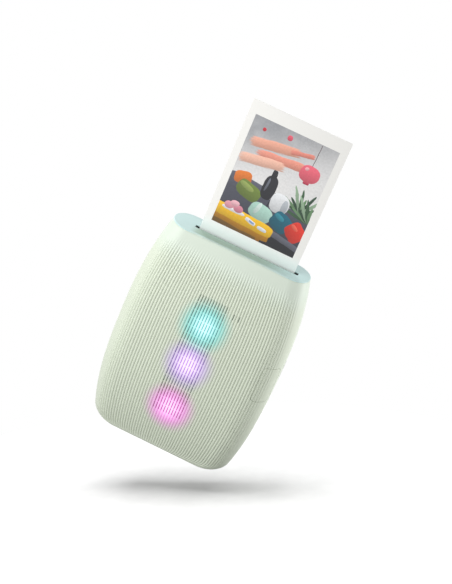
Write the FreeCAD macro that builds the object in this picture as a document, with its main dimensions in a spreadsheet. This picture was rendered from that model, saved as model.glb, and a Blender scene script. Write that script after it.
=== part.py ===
import FreeCAD, Part

import math
import os
import re

import Sketcher

# Compact photo printer, standing on its foot.
# X runs to the right, Y to the back and Z up, in millimetres.
# The origin is the middle of the foot.

# Driving sizes
SIZES = {
    # Barrel shaped body
    "side_room": 27.5,
    "body_depth": 37.3,
    "cap_room": 19.6,
    "top_depth": 20.8,
    "corner_middle": 13.0,
    "corner_top": 9.8,
    "foot_side_round": 7.0,
    "foot_face_round": 2.0,
    "wall": 1.8,
    "parting_y": 0.2,
    # Upright ribs of the front cover
    "rib_count": 57,
    "rib_depth": 0.45,
    "rib_faint": 0.004,
    "rib_top_margin": 3.2,
    "rib_top_fade": 12.0,
    "rib_foot_fade": 5.0,
    # Top cap and the lining of its slot
    "cap_height": 2.2,
    "cap_edge": 0.5,
    "cap_round": 0.3,
    "cap_rim_drop": 2.0,
    "cap_rim_wall": 1.2,
    "cap_rim_gap": 0.15,
    "slot_end_gap": 1.7,
    "slot_width": 1.9,
    "liner_collar": 0.5,
    "liner_fit": 0.05,
    "liner_recess": 0.4,
    "liner_flange": 1.6,
    "liner_drop": 2.2,
    # Print
    "print_width": 54.0,
    "print_height": 86.0,
    "print_thick": 0.35,
    "print_x": 2.8,
    "print_y": -1.0,
    "print_held": 10.1,
    "picture_width": 46.0,
    "picture_height": 62.0,
    "picture_foot": 17.0,
    "picture_thick": 0.05,
    # Rollers
    "roller_drop": 8.0,
    "roller_stand": 13.5,
    "roller_radius": 3.0,
    "roller_over": 0.4,
    "nip_gap": 0.05,
    "drive_shaft_radius": 1.25,
    "pinch_shaft_radius": 1.0,
    "bush_wall": 1.1,
    "bush_flange": 0.3,
    "shaft_over": 0.7,
    "run_gap": 0.05,
    # Side plates that carry the rollers
    "plate_thick": 1.0,
    "plate_margin": 2.0,
    "plate_back_margin": 3.8,
    "plate_top_margin": 3.5,
    "plate_motor_margin": 0.1,
    # Gear train
    "gear_module": 0.5,
    "gear_backlash": 0.1,
    "gear_width": 2.4,
    "gear_gap": 0.6,
    "drive_teeth": 14,
    "idler_teeth": 20,
    "pinion_teeth": 12,
    "idler_post_radius": 0.85,
    "post_head_radius": 1.6,
    "post_head_thick": 0.4,
    "post_head_gap": 0.2,
    # Motor
    "motor_radius": 4.1,
    "motor_length": 18.0,
    "motor_shaft_radius": 0.75,
    "motor_bore_depth": 6.0,
    "motor_shaft_hole": 1.5,
    # Film pack
    "pack_foot": 12.5,
    "pack_wall": 1.2,
    "pack_side_gap": 1.6,
    "pack_film_gap": 0.225,
    "pack_floor_gap": 1.2,
    "pack_depth": 13.6,
    "pack_head_gap": 1.4,
    "pack_mouth": 0.9,
    "stack_gap": 0.325,
    "stack_thick": 2.8,
    "pack_spring_width": 36.0,
    "pack_spring_height": 52.0,
    "pack_spring_flat": 6.0,
    "pack_spring_thick": 0.5,
    "pack_spring_gap": 0.15,
    # Chassis round the film pack
    "chassis_wall": 1.2,
    "chassis_side_gap": 0.5,
    "chassis_front_gap": 0.4,
    "chassis_shelf_gap": 0.2,
    "chassis_foot_gap": 0.2,
    "chassis_depth": 12.7,
    "chassis_over": 2.5,
    "chassis_window_margin": 6.0,
    "ear_length": 5.6,
    "ear_height": 8.0,
    "ear_low": 18.0,
    "ear_drop": 18.5,
    "chassis_boss_radius": 2.2,
    "seat_gap": 0.1,
    # Exposure head and the guide behind the film
    "head_height": 6.0,
    "head_depth": 6.6,
    "head_film_gap": 0.9,
    "head_roller_gap": 0.8,
    "lens_height": 1.4,
    "lens_stand": 0.5,
    "lens_sunk": 0.6,
    "guide_gap": 0.325,
    "guide_thick": 1.2,
    "guide_height": 7.0,
    # Lights behind the ribs
    "light_x": -1.3,
    "light_low": 32.5,
    "light_middle_up": 1.6,
    "light_drop": 40.9,
    "diffuser_width": 26.0,
    "diffuser_thick": 1.2,
    "diffuser_gap": 0.15,
    "diffuser_foot": 22.5,
    "diffuser_drop": 30.5,
    "frame_width": 29.4,
    "frame_thick": 1.7,
    "frame_y": -12.8,
    "frame_margin": 1.0,
    "frame_ear": 4.0,
    "frame_hole": 10.0,
    "led_board_width": 25.0,
    "led_board_margin": 1.5,
    "led_board_thick": 1.0,
    "led_size": 5.0,
    "led_thick": 1.6,
    # Main board
    "board_left": -12.0,
    "board_width": 41.0,
    "board_foot": 28.0,
    "board_drop": 11.5,
    "board_thick": 1.2,
    "board_stand": 2.0,
    "board_stand_radius": 2.2,
    "board_screw_inset": 3.2,
    "chip_size": 11.0,
    "chip_thick": 1.2,
    "radio_width": 14.0,
    "radio_height": 10.0,
    "radio_thick": 1.8,
    "plug_width": 12.0,
    "plug_height": 4.0,
    "plug_thick": 1.4,
    "plug_x": 14.0,
    "ribbon_thick": 0.3,
    "ribbon_width": 10.0,
    "led_plug_z": 44.0,
    # Battery
    "battery_width": 22.5,
    "battery_height": 51.0,
    "battery_thick": 5.6,
    "battery_foot": 31.0,
    "battery_gap": 1.8,
    "battery_lead_radius": 0.6,
    "battery_lead_drop": 6.0,
    "battery_lead_pitch": 2.0,
    # Side button, pressed in along the middle of the corner
    "button_lean": 47.0,
    "button_width": 11.6,
    "button_height": 21.0,
    "button_z": 66.0,
    "button_gap": 0.2,
    "button_travel": 0.5,
    "button_stem_radius": 1.5,
    "switch_size": 6.0,
    "switch_thick": 3.0,
    "switch_board_size": 8.0,
    "switch_board_thick": 1.0,
    "bracket_thick": 2.2,
    "bracket_width": 7.0,
    "bracket_height": 10.0,
    # Charging port
    "port_y": 2.5,
    "port_z": 70.0,
    "port_width": 9.0,
    "port_thick": 3.2,
    "port_length": 8.6,
    "port_wall": 0.35,
    "port_depth": 6.6,
    "port_sunk": 0.6,
    "port_gap": 0.25,
    "port_tongue": 0.7,
    "port_tongue_margin": 1.5,
    "port_board_thick": 1.0,
    "port_board_height": 22.0,
    # Film door, hinged at its foot
    "door_side_margin": 0.8,
    "door_over": 5.0,
    "door_gap": 0.3,
    "hinge_z": 9.6,
    "hinge_inset": 1.6,
    "hinge_radius": 2.0,
    "hinge_pin_radius": 0.9,
    "hinge_pin_length": 7.0,
    "hinge_lug": 3.6,
    "hinge_lug_height": 3.4,
    # Catch of the door
    "catch_width": 15.6,
    "catch_height": 6.0,
    "catch_drop": 10.5,
    "catch_travel": 2.5,
    "catch_gap": 0.2,
    "catch_sunk": 0.5,
    "catch_flange": 1.5,
    "catch_flange_thick": 1.0,
    "catch_flange_drop": 13.0,
    "catch_flange_height": 11.0,
    "catch_y": 11.9,
    "nose_width": 8.0,
    "nose_reach": 3.4,
    "catch_spring_height": 6.0,
    "catch_spring_width": 8.0,
    "catch_spring_wire": 0.6,
    "catch_rest_thick": 1.2,
    # Pads of the door that press on the film pack
    "pad_width": 8.0,
    "pad_height": 12.0,
    "pad_spread": 14.0,
    "pad_z": 58.0,
    "pad_hole_margin": 1.0,
    # Claw that lifts the film out of its pack
    "claw_thick": 0.6,
    "claw_leg": 3.5,
    "claw_leg_gap": 1.0,
    "claw_foot": 8.0,
    "claw_height": 28.0,
    "claw_hook_reach": 2.2,
    "claw_hook_thick": 0.9,
    "claw_hook_gap": 0.2,
    "claw_travel": 5.0,
    "claw_slot_gap": 0.2,
    "claw_guide_z": 27.5,
    "claw_guide_height": 6.0,
    "claw_guide_depth": 2.6,
    "claw_guide_wall": 0.8,
    # Screws
    "screw_inset": 7.65,
    "screw_low": 12.5,
    "screw_drop": 13.0,
    "screw_boss_radius": 2.0,
    "screw_radius": 0.8,
    "screw_length": 6.0,
    "screw_head_radius": 1.5,
    "screw_head_thick": 1.0,
    "screw_sunk": 2.2,
    "screw_floor": 1.2,
    # How far a cutting tool runs past what it cuts
    "overrun": 1.0,
}

# Sizes that follow from the driving ones
WORKED_OUT = {
    "chassis_width": "print_width + 2 * (pack_side_gap + pack_wall + chassis_side_gap + chassis_wall)",
    "body_width": "chassis_width + side_room",
    "slot_length": "print_width + 2 * slot_end_gap",
    "top_width": "slot_length + cap_room",
    "pack_height": "2 * pack_wall + pack_floor_gap + print_height + pack_head_gap",
    "pack_top": "pack_foot + pack_height",
    "body_height": "pack_top + roller_stand + roller_drop",
    "print_travel": "body_height - print_held - pack_foot - pack_wall - pack_floor_gap",
    "ear_high": "pack_top - ear_drop",
    "board_height": "pack_top - board_drop - board_foot",
    "diffuser_height": "body_height - diffuser_drop - diffuser_foot",
    "light_high": "body_height - light_drop",
    "light_middle": "(light_low + light_high) / 2 + light_middle_up",
    "led_board_foot": "diffuser_foot + led_board_margin",
    "led_board_height": "diffuser_height - 2 * led_board_margin",
    "screw_x": "body_width / 2 - screw_inset",
    "screw_high": "body_height - screw_drop",
    "claw_leg_left": "print_x - chassis_width / 2 - claw_leg_gap - claw_leg",
}

# How full the curve of the barrel is: 2 is close to an arc, more is flatter in the middle.
BARREL_POWER = 2.6
# How far round the front corners the ribs run, in radians.
RIB_WRAP = 1.0
# Ribs over which the depth grows at each side of the ribbed field.
RIB_EDGE_COUNT = 4
# Heights at which the body is drawn, as shares of the foot's round and of the height above it.
FOOT_SHARES = (0.0, 0.05, 0.16, 0.33, 0.57)
BODY_SHARES = (0.0, 0.043, 0.112, 0.216, 0.337, 0.479, 0.621, 0.743, 0.838, 0.889, 0.941, 0.984, 1.0)
# Where the gear train leans, in degrees from straight down towards the front.
IDLER_LEAN = 7.0
MOTOR_LEAN = 25.0
PRESSURE_ANGLE = math.radians(20)
# Tooth height above and below the pitch circle, as shares of the module.
ADDENDUM_SHARE = 0.85
DEDENDUM_SHARE = 1.2

doc = FreeCAD.newDocument("PhotoPrinter")
sheet = doc.addObject("Spreadsheet::Sheet", "Sizes")
names = [*SIZES, *WORKED_OUT]
amounts = [str(amount) for amount in SIZES.values()] + ["=" + formula for formula in WORKED_OUT.values()]
for row, (alias, amount) in enumerate(zip(names, amounts), start=1):
    sheet.set(f"A{row}", alias)
    sheet.setAlias(f"B{row}", alias)
    sheet.set(f"B{row}", amount)
doc.recompute()


def bound(text):
    """The same sum, with every size's name pointing at the sheet."""
    return re.sub(r"[a-z]\w*", lambda word: "Sizes." + word[0] if word[0] in names else word[0], text)


def value(text):
    """What a sum of sizes comes to, in millimetres."""
    return float(sheet.evalExpression(bound(text)))


# Places worked out from the sizes
CAP_SEAT = "(body_height - cap_edge)"
CAP_UNDER = "(body_height - cap_height)"
PRINT_LEFT = "(print_x - print_width / 2)"
PRINT_RIGHT = "(print_x + print_width / 2)"
PRINT_FRONT = "(print_y - print_thick / 2)"
PRINT_BACK = "(print_y + print_thick / 2)"
PRINT_FOOT = "(body_height - print_held)"
PRINT_IN_PACK = f"({PRINT_FOOT} - print_travel)"

ROLLER_Z = "(body_height - roller_drop)"
DRIVE_Y = f"({PRINT_FRONT} - nip_gap - roller_radius)"
PINCH_Y = f"({PRINT_BACK} + nip_gap + roller_radius)"

PACK_LEFT = f"({PRINT_LEFT} - pack_side_gap - pack_wall)"
PACK_RIGHT = f"({PRINT_RIGHT} + pack_side_gap + pack_wall)"
PACK_FRONT = f"({PRINT_FRONT} - pack_film_gap - pack_wall)"
PACK_BACK = f"({PACK_FRONT} + pack_depth)"
PACK_FOOT = "pack_foot"
PACK_TOP = "pack_top"
STACK_FRONT = f"({PRINT_BACK} + stack_gap)"
STACK_BACK = f"({STACK_FRONT} + stack_thick)"

CHASSIS_LEFT = f"({PACK_LEFT} - chassis_side_gap - chassis_wall)"
CHASSIS_RIGHT = f"({PACK_RIGHT} + chassis_side_gap + chassis_wall)"
CHASSIS_FACE = f"({PACK_FRONT} - chassis_front_gap - chassis_wall)"
CHASSIS_BACK = f"({CHASSIS_FACE} + chassis_depth)"
CHASSIS_SHELF = f"({PACK_FOOT} - chassis_shelf_gap)"
SHELF_FOOT = f"({CHASSIS_SHELF} - chassis_wall)"
CHASSIS_TOP = f"({PACK_TOP} + chassis_over)"
EAR_LEFT = f"({CHASSIS_LEFT} - ear_length)"
EAR_RIGHT = f"({CHASSIS_RIGHT} + ear_length)"

IDLER_REACH = "(gear_module * (drive_teeth + idler_teeth) / 2)"
PINION_REACH = "(gear_module * (idler_teeth + pinion_teeth) / 2)"
IDLER_Y = f"({DRIVE_Y} - {IDLER_REACH} * sin({IDLER_LEAN}))"
IDLER_Z = f"({ROLLER_Z} - {IDLER_REACH} * cos({IDLER_LEAN}))"
MOTOR_Y = f"({IDLER_Y} - {PINION_REACH} * sin({MOTOR_LEAN}))"
MOTOR_Z = f"({IDLER_Z} - {PINION_REACH} * cos({MOTOR_LEAN}))"
GEAR_RIGHT = f"({CHASSIS_LEFT} - plate_thick - gear_gap)"
GEAR_LEFT = f"({GEAR_RIGHT} - gear_width)"

HEAD_TOP = f"({ROLLER_Z} - roller_radius - head_roller_gap)"
HEAD_FOOT = f"({HEAD_TOP} - head_height)"
HEAD_BACK = f"({PRINT_FRONT} - head_film_gap)"
HEAD_FRONT = f"({HEAD_BACK} - head_depth)"

FRAME_BACK = "(frame_y + frame_thick)"
BOARD_BACK = f"({CHASSIS_FACE} - board_stand)"
BOARD_FRONT = f"({BOARD_BACK} - board_thick)"
BATTERY_BACK = f"({CHASSIS_FACE} - seat_gap)"
BATTERY_LEFT = "(board_left - battery_gap - battery_width)"
DOOR_TOP = f"({PACK_TOP} + door_over)"
CATCH_FOOT = f"({DOOR_TOP} - catch_drop)"
FLANGE_FOOT = f"({DOOR_TOP} - catch_flange_drop)"
FLANGE_TOP = f"({FLANGE_FOOT} + catch_flange_height)"

BOARD_SCREW_PLACES = [
    (x, z)
    for x in ("(board_left + board_screw_inset)", "(board_left + board_width - board_screw_inset)")
    for z in ("(board_foot + board_screw_inset)", "(board_foot + board_height - board_screw_inset)")
]
EAR_PLACES = [
    (x, f"({z} + ear_height / 2)")
    for x in (f"({EAR_LEFT} + ear_length / 2)", f"({EAR_RIGHT} - ear_length / 2)")
    for z in ("ear_low", "ear_high")
]
FRAME_SCREW_PLACES = [
    (x, z)
    for x in ("(light_x - frame_width / 2 - frame_ear / 2)", "(light_x + frame_width / 2 + frame_ear / 2)")
    for z in (
        "(diffuser_foot - frame_margin + frame_ear / 2)",
        "(diffuser_foot + diffuser_height + frame_margin - frame_ear / 2)",
    )
]
HOUSING_SCREW_PLACES = [(x, z) for x in ("-screw_x", "screw_x") for z in ("screw_low", "screw_high")]


# Building blocks
parts = {}
spare_names = iter(range(1, 100000))


def keep(node, thing):
    """Gives a finished sub-part the name of its node."""
    thing.Label = node
    parts[node] = thing
    return thing


def box(x_from, x_to, y_from, y_to, z_from, z_to):
    """An upright block between two corners."""
    block = doc.addObject("Part::Box", f"Block{next(spare_names)}")
    for side, low, high in (("Length", x_from, x_to), ("Width", y_from, y_to), ("Height", z_from, z_to)):
        block.setExpression(side, bound(f"{high} - ({low})"))
    for letter, low in zip("xyz", (x_from, y_from, z_from)):
        block.setExpression(f".Placement.Base.{letter}", bound(low))
    return block


TURNS = {
    "x": FreeCAD.Rotation(FreeCAD.Vector(0, 1, 0), 90),
    "y": FreeCAD.Rotation(FreeCAD.Vector(1, 0, 0), -90),
    "z": FreeCAD.Rotation(),
}


def rod(direction, radius, length, x, y, z):
    """A round bar that starts at a point and runs along X, Y or Z."""
    bar = doc.addObject("Part::Cylinder", f"Rod{next(spare_names)}")
    bar.Placement = FreeCAD.Placement(FreeCAD.Vector(), TURNS[direction])
    bar.setExpression("Radius", bound(radius))
    bar.setExpression("Height", bound(length))
    for letter, place in zip("xyz", (x, y, z)):
        bar.setExpression(f".Placement.Base.{letter}", bound(place))
    return bar


def fused(*pieces):
    """Pieces moulded as one."""
    whole = doc.addObject("Part::MultiFuse", f"Whole{next(spare_names)}")
    whole.Shapes = list(pieces)
    return whole


def cut(base, *tools):
    """A piece with the tools taken out of it."""
    rest = doc.addObject("Part::Cut", f"Rest{next(spare_names)}")
    rest.Base = base
    rest.Tool = tools[0] if len(tools) == 1 else fused(*tools)
    return rest


def group(*pieces):
    """Like pieces that stay separate solids in one node."""
    together = doc.addObject("Part::Compound", f"Group{next(spare_names)}")
    together.Links = list(pieces)
    return together


def shaped(shape):
    """A piece whose form is drawn as a shape."""
    piece = doc.addObject("Part::Feature", f"Form{next(spare_names)}")
    piece.Shape = shape
    return piece


def pad(plane, outline, depth, place, circles=(), windows=(), toward_back=False):
    """A sketched outline with round holes and windows, raised into a solid.

    The outline is a list of corners. A circle is (u, v, radius), a window (u, v, u, v)."""
    body = doc.addObject("PartDesign::Body", f"Body{next(spare_names)}")
    sketch = body.newObject("Sketcher::SketchObject", f"Outline{next(spare_names)}")
    origin_plane = next(item for item in body.Origin.OriginFeatures if item.Role == plane + "_Plane")
    sketch.AttachmentSupport = [(origin_plane, "")]
    sketch.MapMode = "FlatFace"

    def fix(kind, *where, size):
        number = sketch.addConstraint(Sketcher.Constraint(kind, *where, value(size)))
        sketch.setExpression(f"Constraints[{number}]", bound(size))

    corner_loops = [list(outline)] + [[(a, b), (c, b), (c, d), (a, d)] for a, b, c, d in windows]
    for corners in corner_loops:
        points = [FreeCAD.Vector(value(u), value(v), 0) for u, v in corners]
        lines = [
            sketch.addGeometry(Part.LineSegment(points[i - 1], points[i]), False) for i in range(len(points))
        ]
        for line, following in zip(lines, lines[1:] + lines[:1]):
            sketch.addConstraint(Sketcher.Constraint("Coincident", line, 2, following, 1))
        for line, (u, v) in zip(lines, corners):
            fix("DistanceX", -1, 1, line, 2, size=u)
            fix("DistanceY", -1, 1, line, 2, size=v)
    for u, v, radius in circles:
        middle = FreeCAD.Vector(value(u), value(v), 0)
        ring = sketch.addGeometry(Part.Circle(middle, FreeCAD.Vector(0, 0, 1), value(radius)), False)
        fix("DistanceX", -1, 1, ring, 3, size=u)
        fix("DistanceY", -1, 1, ring, 3, size=v)
        fix("Radius", ring, size=radius)

    raised = body.newObject("PartDesign::Pad", f"Pad{next(spare_names)}")
    raised.Profile = sketch
    raised.setExpression("Length", bound(depth))
    raised.Reversed = toward_back
    for letter, base in zip("xyz", place):
        body.setExpression(f".Placement.Base.{letter}", bound(base))
    return body


def rectangle(u_from, v_from, u_to, v_to):
    return [(u_from, v_from), (u_to, v_from), (u_to, v_to), (u_from, v_to)]


# Barrel shape of the body
def eased(low, high, at):
    """0 below low, 1 above high, and a soft step between them."""
    share = min(max((at - low) / (high - low), 0), 1)
    return share * share * (3 - 2 * share)


def half_sizes(z):
    """Half the width, half the depth and the corner radius of the body at a height."""
    rise = abs(2 * z / sheet.body_height - 1) ** BARREL_POWER
    half_width = sheet.body_width / 2 - rise * (sheet.body_width - sheet.top_width) / 2
    half_depth = sheet.body_depth / 2 - rise * (sheet.body_depth - sheet.top_depth) / 2
    corner = sheet.corner_middle - rise * (sheet.corner_middle - sheet.corner_top)
    half_width -= foot_draw(z, sheet.foot_side_round)
    half_depth -= foot_draw(z, sheet.foot_face_round)
    return half_width, half_depth, min(corner, half_depth - sheet.rib_depth)


def foot_draw(z, radius):
    """How far a rounded foot edge draws in at a height."""
    return radius - math.sqrt(radius**2 - (radius - z) ** 2) if z < radius else 0.0


def stations(z_from, z_to):
    """Heights at which a stretch of the body is drawn."""
    low, high = sheet.foot_side_round, value(CAP_SEAT)
    whole = [share * low for share in FOOT_SHARES]
    whole += [low + share * (high - low) for share in BODY_SHARES]
    near = sheet.rib_faint
    return [z_from] + [z for z in whole if z_from + near < z < z_to - near] + [z_to]


def corner_point(z, inset, angle, side, back=False):
    """A point on the round of a corner: angle 0 is its front or back, a quarter turn its side."""
    half_width, half_depth, corner = half_sizes(z)
    radius = corner - inset
    x = side * (half_width - corner + radius * math.sin(angle))
    y = half_depth - corner + radius * math.cos(angle)
    return FreeCAD.Vector(x, y if back else -y, z)


def loop(z, inset=0.0):
    """The smooth outline of the body at a height, drawn in by an inset, anticlockwise from above."""
    quarter = math.pi / 2
    corners = []
    for side, back in ((1, False), (1, True), (-1, True), (-1, False)):
        turn = [corner_point(z, inset, quarter * step / 2, side, back) for step in range(3)]
        corners.append(turn if back == (side < 0) else turn[::-1])
    outline = []
    for turn, following in zip(corners, corners[1:] + corners[:1]):
        outline.append(Part.Arc(*turn).toShape())
        outline.append(Part.makeLine(turn[2], following[0]))
    return Part.Wire(outline)


def rib_depth(z):
    """How deep the valleys between the ribs are at a height."""
    top = value(CAP_SEAT) - sheet.rib_top_margin
    fade = eased(0, sheet.rib_foot_fade, z) * (1 - eased(top - sheet.rib_top_fade, top, z))
    return sheet.rib_faint + (sheet.rib_depth - sheet.rib_faint) * fade


def rib_point(z, share, sunk):
    """A point of the ribbed front, at a share of the way from its left edge to its right."""
    half_width, half_depth, corner = half_sizes(z)
    flat = half_width - corner
    run = (2 * share - 1) * (flat + RIB_WRAP * corner)
    if abs(run) <= flat:
        return FreeCAD.Vector(run, sunk - half_depth, z)
    side = math.copysign(1, run)
    return corner_point(z, sunk, (abs(run) - flat) / corner, side)


def ribbed_loop(z):
    """The outline of the front cover at a height: ribs in front, smooth sides, a straight parting."""
    count = int(sheet.rib_count)
    depth = rib_depth(z)
    outline = []
    for rib in range(count):
        ends = []
        for edge in (rib, rib + 1):
            share_of_depth = min(1, edge / RIB_EDGE_COUNT, (count - edge) / RIB_EDGE_COUNT)
            ends.append(rib_point(z, edge / count, depth * share_of_depth))
        crest = rib_point(z, (rib + 0.5) / count, 0)
        outline.append(Part.Arc(ends[0], crest, ends[1]).toShape())
    sides = []
    for side in (1, -1):
        angles = (RIB_WRAP, (RIB_WRAP + math.pi / 2) / 2, math.pi / 2)
        sides.append([corner_point(z, 0, angle, side) for angle in angles])
    right, left = sides
    right_end, left_end = (FreeCAD.Vector(turn[2].x, sheet.parting_y, z) for turn in sides)
    outline.append(Part.Arc(*right).toShape())
    outline.append(Part.makeLine(right[2], right_end))
    outline.append(Part.makeLine(right_end, left_end))
    outline.append(Part.makeLine(left_end, left[2]))
    outline.append(Part.Arc(*left[::-1]).toShape())
    return Part.Wire(outline)


def barrel(z_from, z_to, inset=0.0):
    """The smooth body between two heights, drawn in by an inset."""
    return Part.makeLoft([loop(z, inset) for z in stations(z_from, z_to)], True)


def ribbed_barrel():
    """The front half of the body with its ribs."""
    return Part.makeLoft([ribbed_loop(z) for z in stations(0, value(CAP_SEAT))], True)


def block(x_from, x_to, y_from, y_to, z_from, z_to):
    """A block between two corners, each given as a sum of sizes."""
    low = FreeCAD.Vector(*(value(text) for text in (x_from, y_from, z_from)))
    high = FreeCAD.Vector(*(value(text) for text in (x_to, y_to, z_to)))
    return Part.makeBox(*(high - low), low)


def bar(radius, start, end):
    """A round bar from one point to another, each point three sums of sizes."""
    first, last = (FreeCAD.Vector(*(value(text) for text in point)) for point in (start, end))
    return Part.makeCylinder(value(radius), (last - first).Length, first, last - first)


OUTSIDE_FRONT = "(-body_depth / 2 - overrun)"
OUTSIDE_BACK = "(body_depth / 2 + overrun)"


def button_place():
    """Where the side button lies: X along its width, Y inward, from the middle of its corner."""
    half_width, half_depth, corner = half_sizes(sheet.button_z)
    turn = FreeCAD.Rotation(FreeCAD.Vector(0, 0, 1), sheet.button_lean)
    base = FreeCAD.Vector(half_width - corner, corner - half_depth, sheet.button_z)
    return FreeCAD.Placement(base, turn)


def leaning_block(width, height, out_from, out_to):
    """A block in line with the side button, between two distances from the corner's middle."""
    piece = Part.makeBox(width, out_to - out_from, height)
    piece.translate(FreeCAD.Vector(-width / 2, -out_to, -height / 2))
    piece.Placement = button_place().multiply(piece.Placement)
    return piece


def leaning_rod(radius, out_from, out_to):
    """A round bar in line with the side button."""
    outward = FreeCAD.Vector(0, -1, 0)
    piece = Part.makeCylinder(radius, out_to - out_from, outward * out_from, outward)
    piece.Placement = button_place().multiply(piece.Placement)
    return piece


# Casing
inner_space = barrel(sheet.wall, value(f"{CAP_SEAT} + overrun"), sheet.wall)
boss_limit = barrel(0, value(CAP_SEAT), sheet.wall / 2)
corner_radius_at_button = half_sizes(sheet.button_z)[2]


def make_front_cover():
    """Ribbed front shell with the bosses that carry the chassis, the light frame and the screws."""
    cover = ribbed_barrel().cut(inner_space)
    bosses, pilots = [], []
    seats = [(x, z, "parting_y", "screw_boss_radius") for x, z in HOUSING_SCREW_PLACES]
    seats += [(x, z, f"({CHASSIS_FACE} - seat_gap)", "chassis_boss_radius") for x, z in EAR_PLACES]
    seats += [(x, z, "frame_y", "frame_ear / 2") for x, z in FRAME_SCREW_PLACES]
    for x, z, y, radius in seats:
        bosses.append(bar(radius, (x, OUTSIDE_FRONT, z), (x, y, z)))
        pilots.append(bar("screw_radius", (x, f"{y} - screw_length", z), (x, f"{y} + overrun", z)))
    solid_bosses = [boss.common(boss_limit) for boss in bosses]
    cover = cover.fuse(solid_bosses)
    drilled = [pilot.common(inner_space) for pilot in pilots]
    cover = cover.cut([hole for hole in drilled if hole.Solids])
    size = sheet.button_width + 2 * sheet.button_gap, sheet.button_height + 2 * sheet.button_gap
    opening = leaning_block(*size, corner_radius_at_button / 2, corner_radius_at_button + sheet.overrun)
    return cover.cut(opening).removeSplitter()


def make_side_button():
    """Part of the ribbed skin, with the stem that reaches the switch."""
    skin = ribbed_barrel().cut(inner_space)
    outer = corner_radius_at_button + sheet.overrun
    plate = skin.common(leaning_block(sheet.button_width, sheet.button_height, outer / 2, outer))
    stem_foot = switch_out() + sheet.switch_thick
    stem = leaning_rod(sheet.button_stem_radius, stem_foot, corner_radius_at_button - sheet.wall / 2)
    return plate.fuse(stem).removeSplitter()


def switch_out():
    """How far from the corner's middle the foot of the switch lies."""
    return sheet.bracket_thick + sheet.switch_board_thick


def hinge_y():
    """The hinge line lies just inside the back of the body."""
    return half_sizes(sheet.hinge_z)[1] - sheet.hinge_inset


def door_space(gap):
    """What the film door takes up in the back wall, with a gap all round."""
    left = f"({PACK_LEFT} - door_side_margin - {gap})"
    right = f"({PACK_RIGHT} + door_side_margin + {gap})"
    upright = block(left, right, "0", OUTSIDE_BACK, "hinge_z", f"{DOOR_TOP} + {gap}")
    start, end = (FreeCAD.Vector(value(x), hinge_y(), sheet.hinge_z) for x in (left, right))
    knuckle = Part.makeCylinder(sheet.hinge_radius + value(gap), end.x - start.x, start, end - start)
    return upright, knuckle


def make_rear_housing():
    """Smooth back shell with the film door's opening, its hinge lugs and the port's opening."""
    shell = barrel(0, value(CAP_SEAT)).cut(inner_space)
    everything_behind = block(
        "-body_width", "body_width", "parting_y", "body_depth", "-overrun", "body_height + overrun"
    )
    shell = shell.common(everything_behind)
    bosses, holes = [], []
    for x, z in HOUSING_SCREW_PLACES:
        boss = bar("screw_boss_radius", (x, "parting_y", z), (x, OUTSIDE_BACK, z)).common(boss_limit)
        bosses.append(boss)
        holes.append(bar("screw_radius + run_gap", (x, "parting_y - overrun", z), (x, OUTSIDE_BACK, z)))
        floor = "(parting_y + screw_floor)"
        holes.append(bar("screw_head_radius + run_gap", (x, floor, z), (x, OUTSIDE_BACK, z)))
    shell = shell.fuse(bosses).cut(holes)

    upright, knuckle = door_space("door_gap")
    shell = shell.cut([upright, knuckle])
    lugs = []
    for side, edge in ((-1, knuckle.BoundBox.XMin), (1, knuckle.BoundBox.XMax)):
        far = edge + side * sheet.hinge_lug
        low = FreeCAD.Vector(min(edge, far), hinge_y() - sheet.hinge_lug / 2, sheet.hinge_z)
        low.z -= sheet.hinge_lug_height / 2
        lugs.append(Part.makeBox(sheet.hinge_lug, sheet.hinge_lug, sheet.hinge_lug_height, low))
    shell = shell.fuse([lug.common(boss_limit) for lug in lugs])
    pin_space = Part.makeCylinder(
        sheet.hinge_pin_radius,
        knuckle.BoundBox.XLength + 2 * sheet.hinge_lug,
        FreeCAD.Vector(knuckle.BoundBox.XMin - sheet.hinge_lug, hinge_y(), sheet.hinge_z),
        FreeCAD.Vector(1, 0, 0),
    )
    notch = block(
        "print_x - nose_width / 2 - catch_gap",
        "print_x + nose_width / 2 + catch_gap",
        "catch_y - catch_gap",
        OUTSIDE_BACK,
        f"{DOOR_TOP} - catch_gap",
        f"{FLANGE_TOP} + nose_reach + catch_gap",
    )
    mouth = block(
        "body_width / 4",
        "body_width / 2 + overrun",
        "port_y - port_thick / 2 - port_gap",
        "port_y + port_thick / 2 + port_gap",
        "port_z - port_width / 2 - port_gap",
        "port_z + port_width / 2 + port_gap",
    )
    return shell.cut([pin_space, notch, mouth]).removeSplitter()


def make_top_cap():
    """Flat lid with a thin edge over the walls, a slot for the print and a rim that locates it."""
    seat, under = value(CAP_SEAT), value(CAP_UNDER)
    top, radius = sheet.body_height, sheet.cap_round
    sections = [loop(seat), loop((seat + top - radius) / 2), loop(top - radius)]
    for turn in (30, 60, 90):
        angle = math.radians(turn)
        drop = radius * (1 - math.sin(angle))
        sections.append(loop(top - drop, radius * (1 - math.cos(angle))))
    lid = Part.makeLoft(sections[:3], True).fuse(Part.makeLoft(sections[2:], True))
    outer = sheet.wall + sheet.cap_rim_gap
    rim_foot = under - sheet.cap_rim_drop
    rim = barrel(rim_foot, seat, outer).cut(
        barrel(rim_foot - sheet.overrun, under, outer + sheet.cap_rim_wall)
    )
    fit = "(liner_collar + liner_fit)"
    slot = block(
        f"print_x - slot_length / 2 - {fit}",
        f"print_x + slot_length / 2 + {fit}",
        f"print_y - slot_width / 2 - {fit}",
        f"print_y + slot_width / 2 + {fit}",
        f"{CAP_UNDER} - overrun",
        "body_height + overrun",
    )
    return lid.fuse(rim).cut(slot).removeSplitter()


keep("front_cover", shaped(make_front_cover()))
keep("rear_housing", shaped(make_rear_housing()))
keep("top_cap", shaped(make_top_cap()))
keep("side_button", shaped(make_side_button()))

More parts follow.
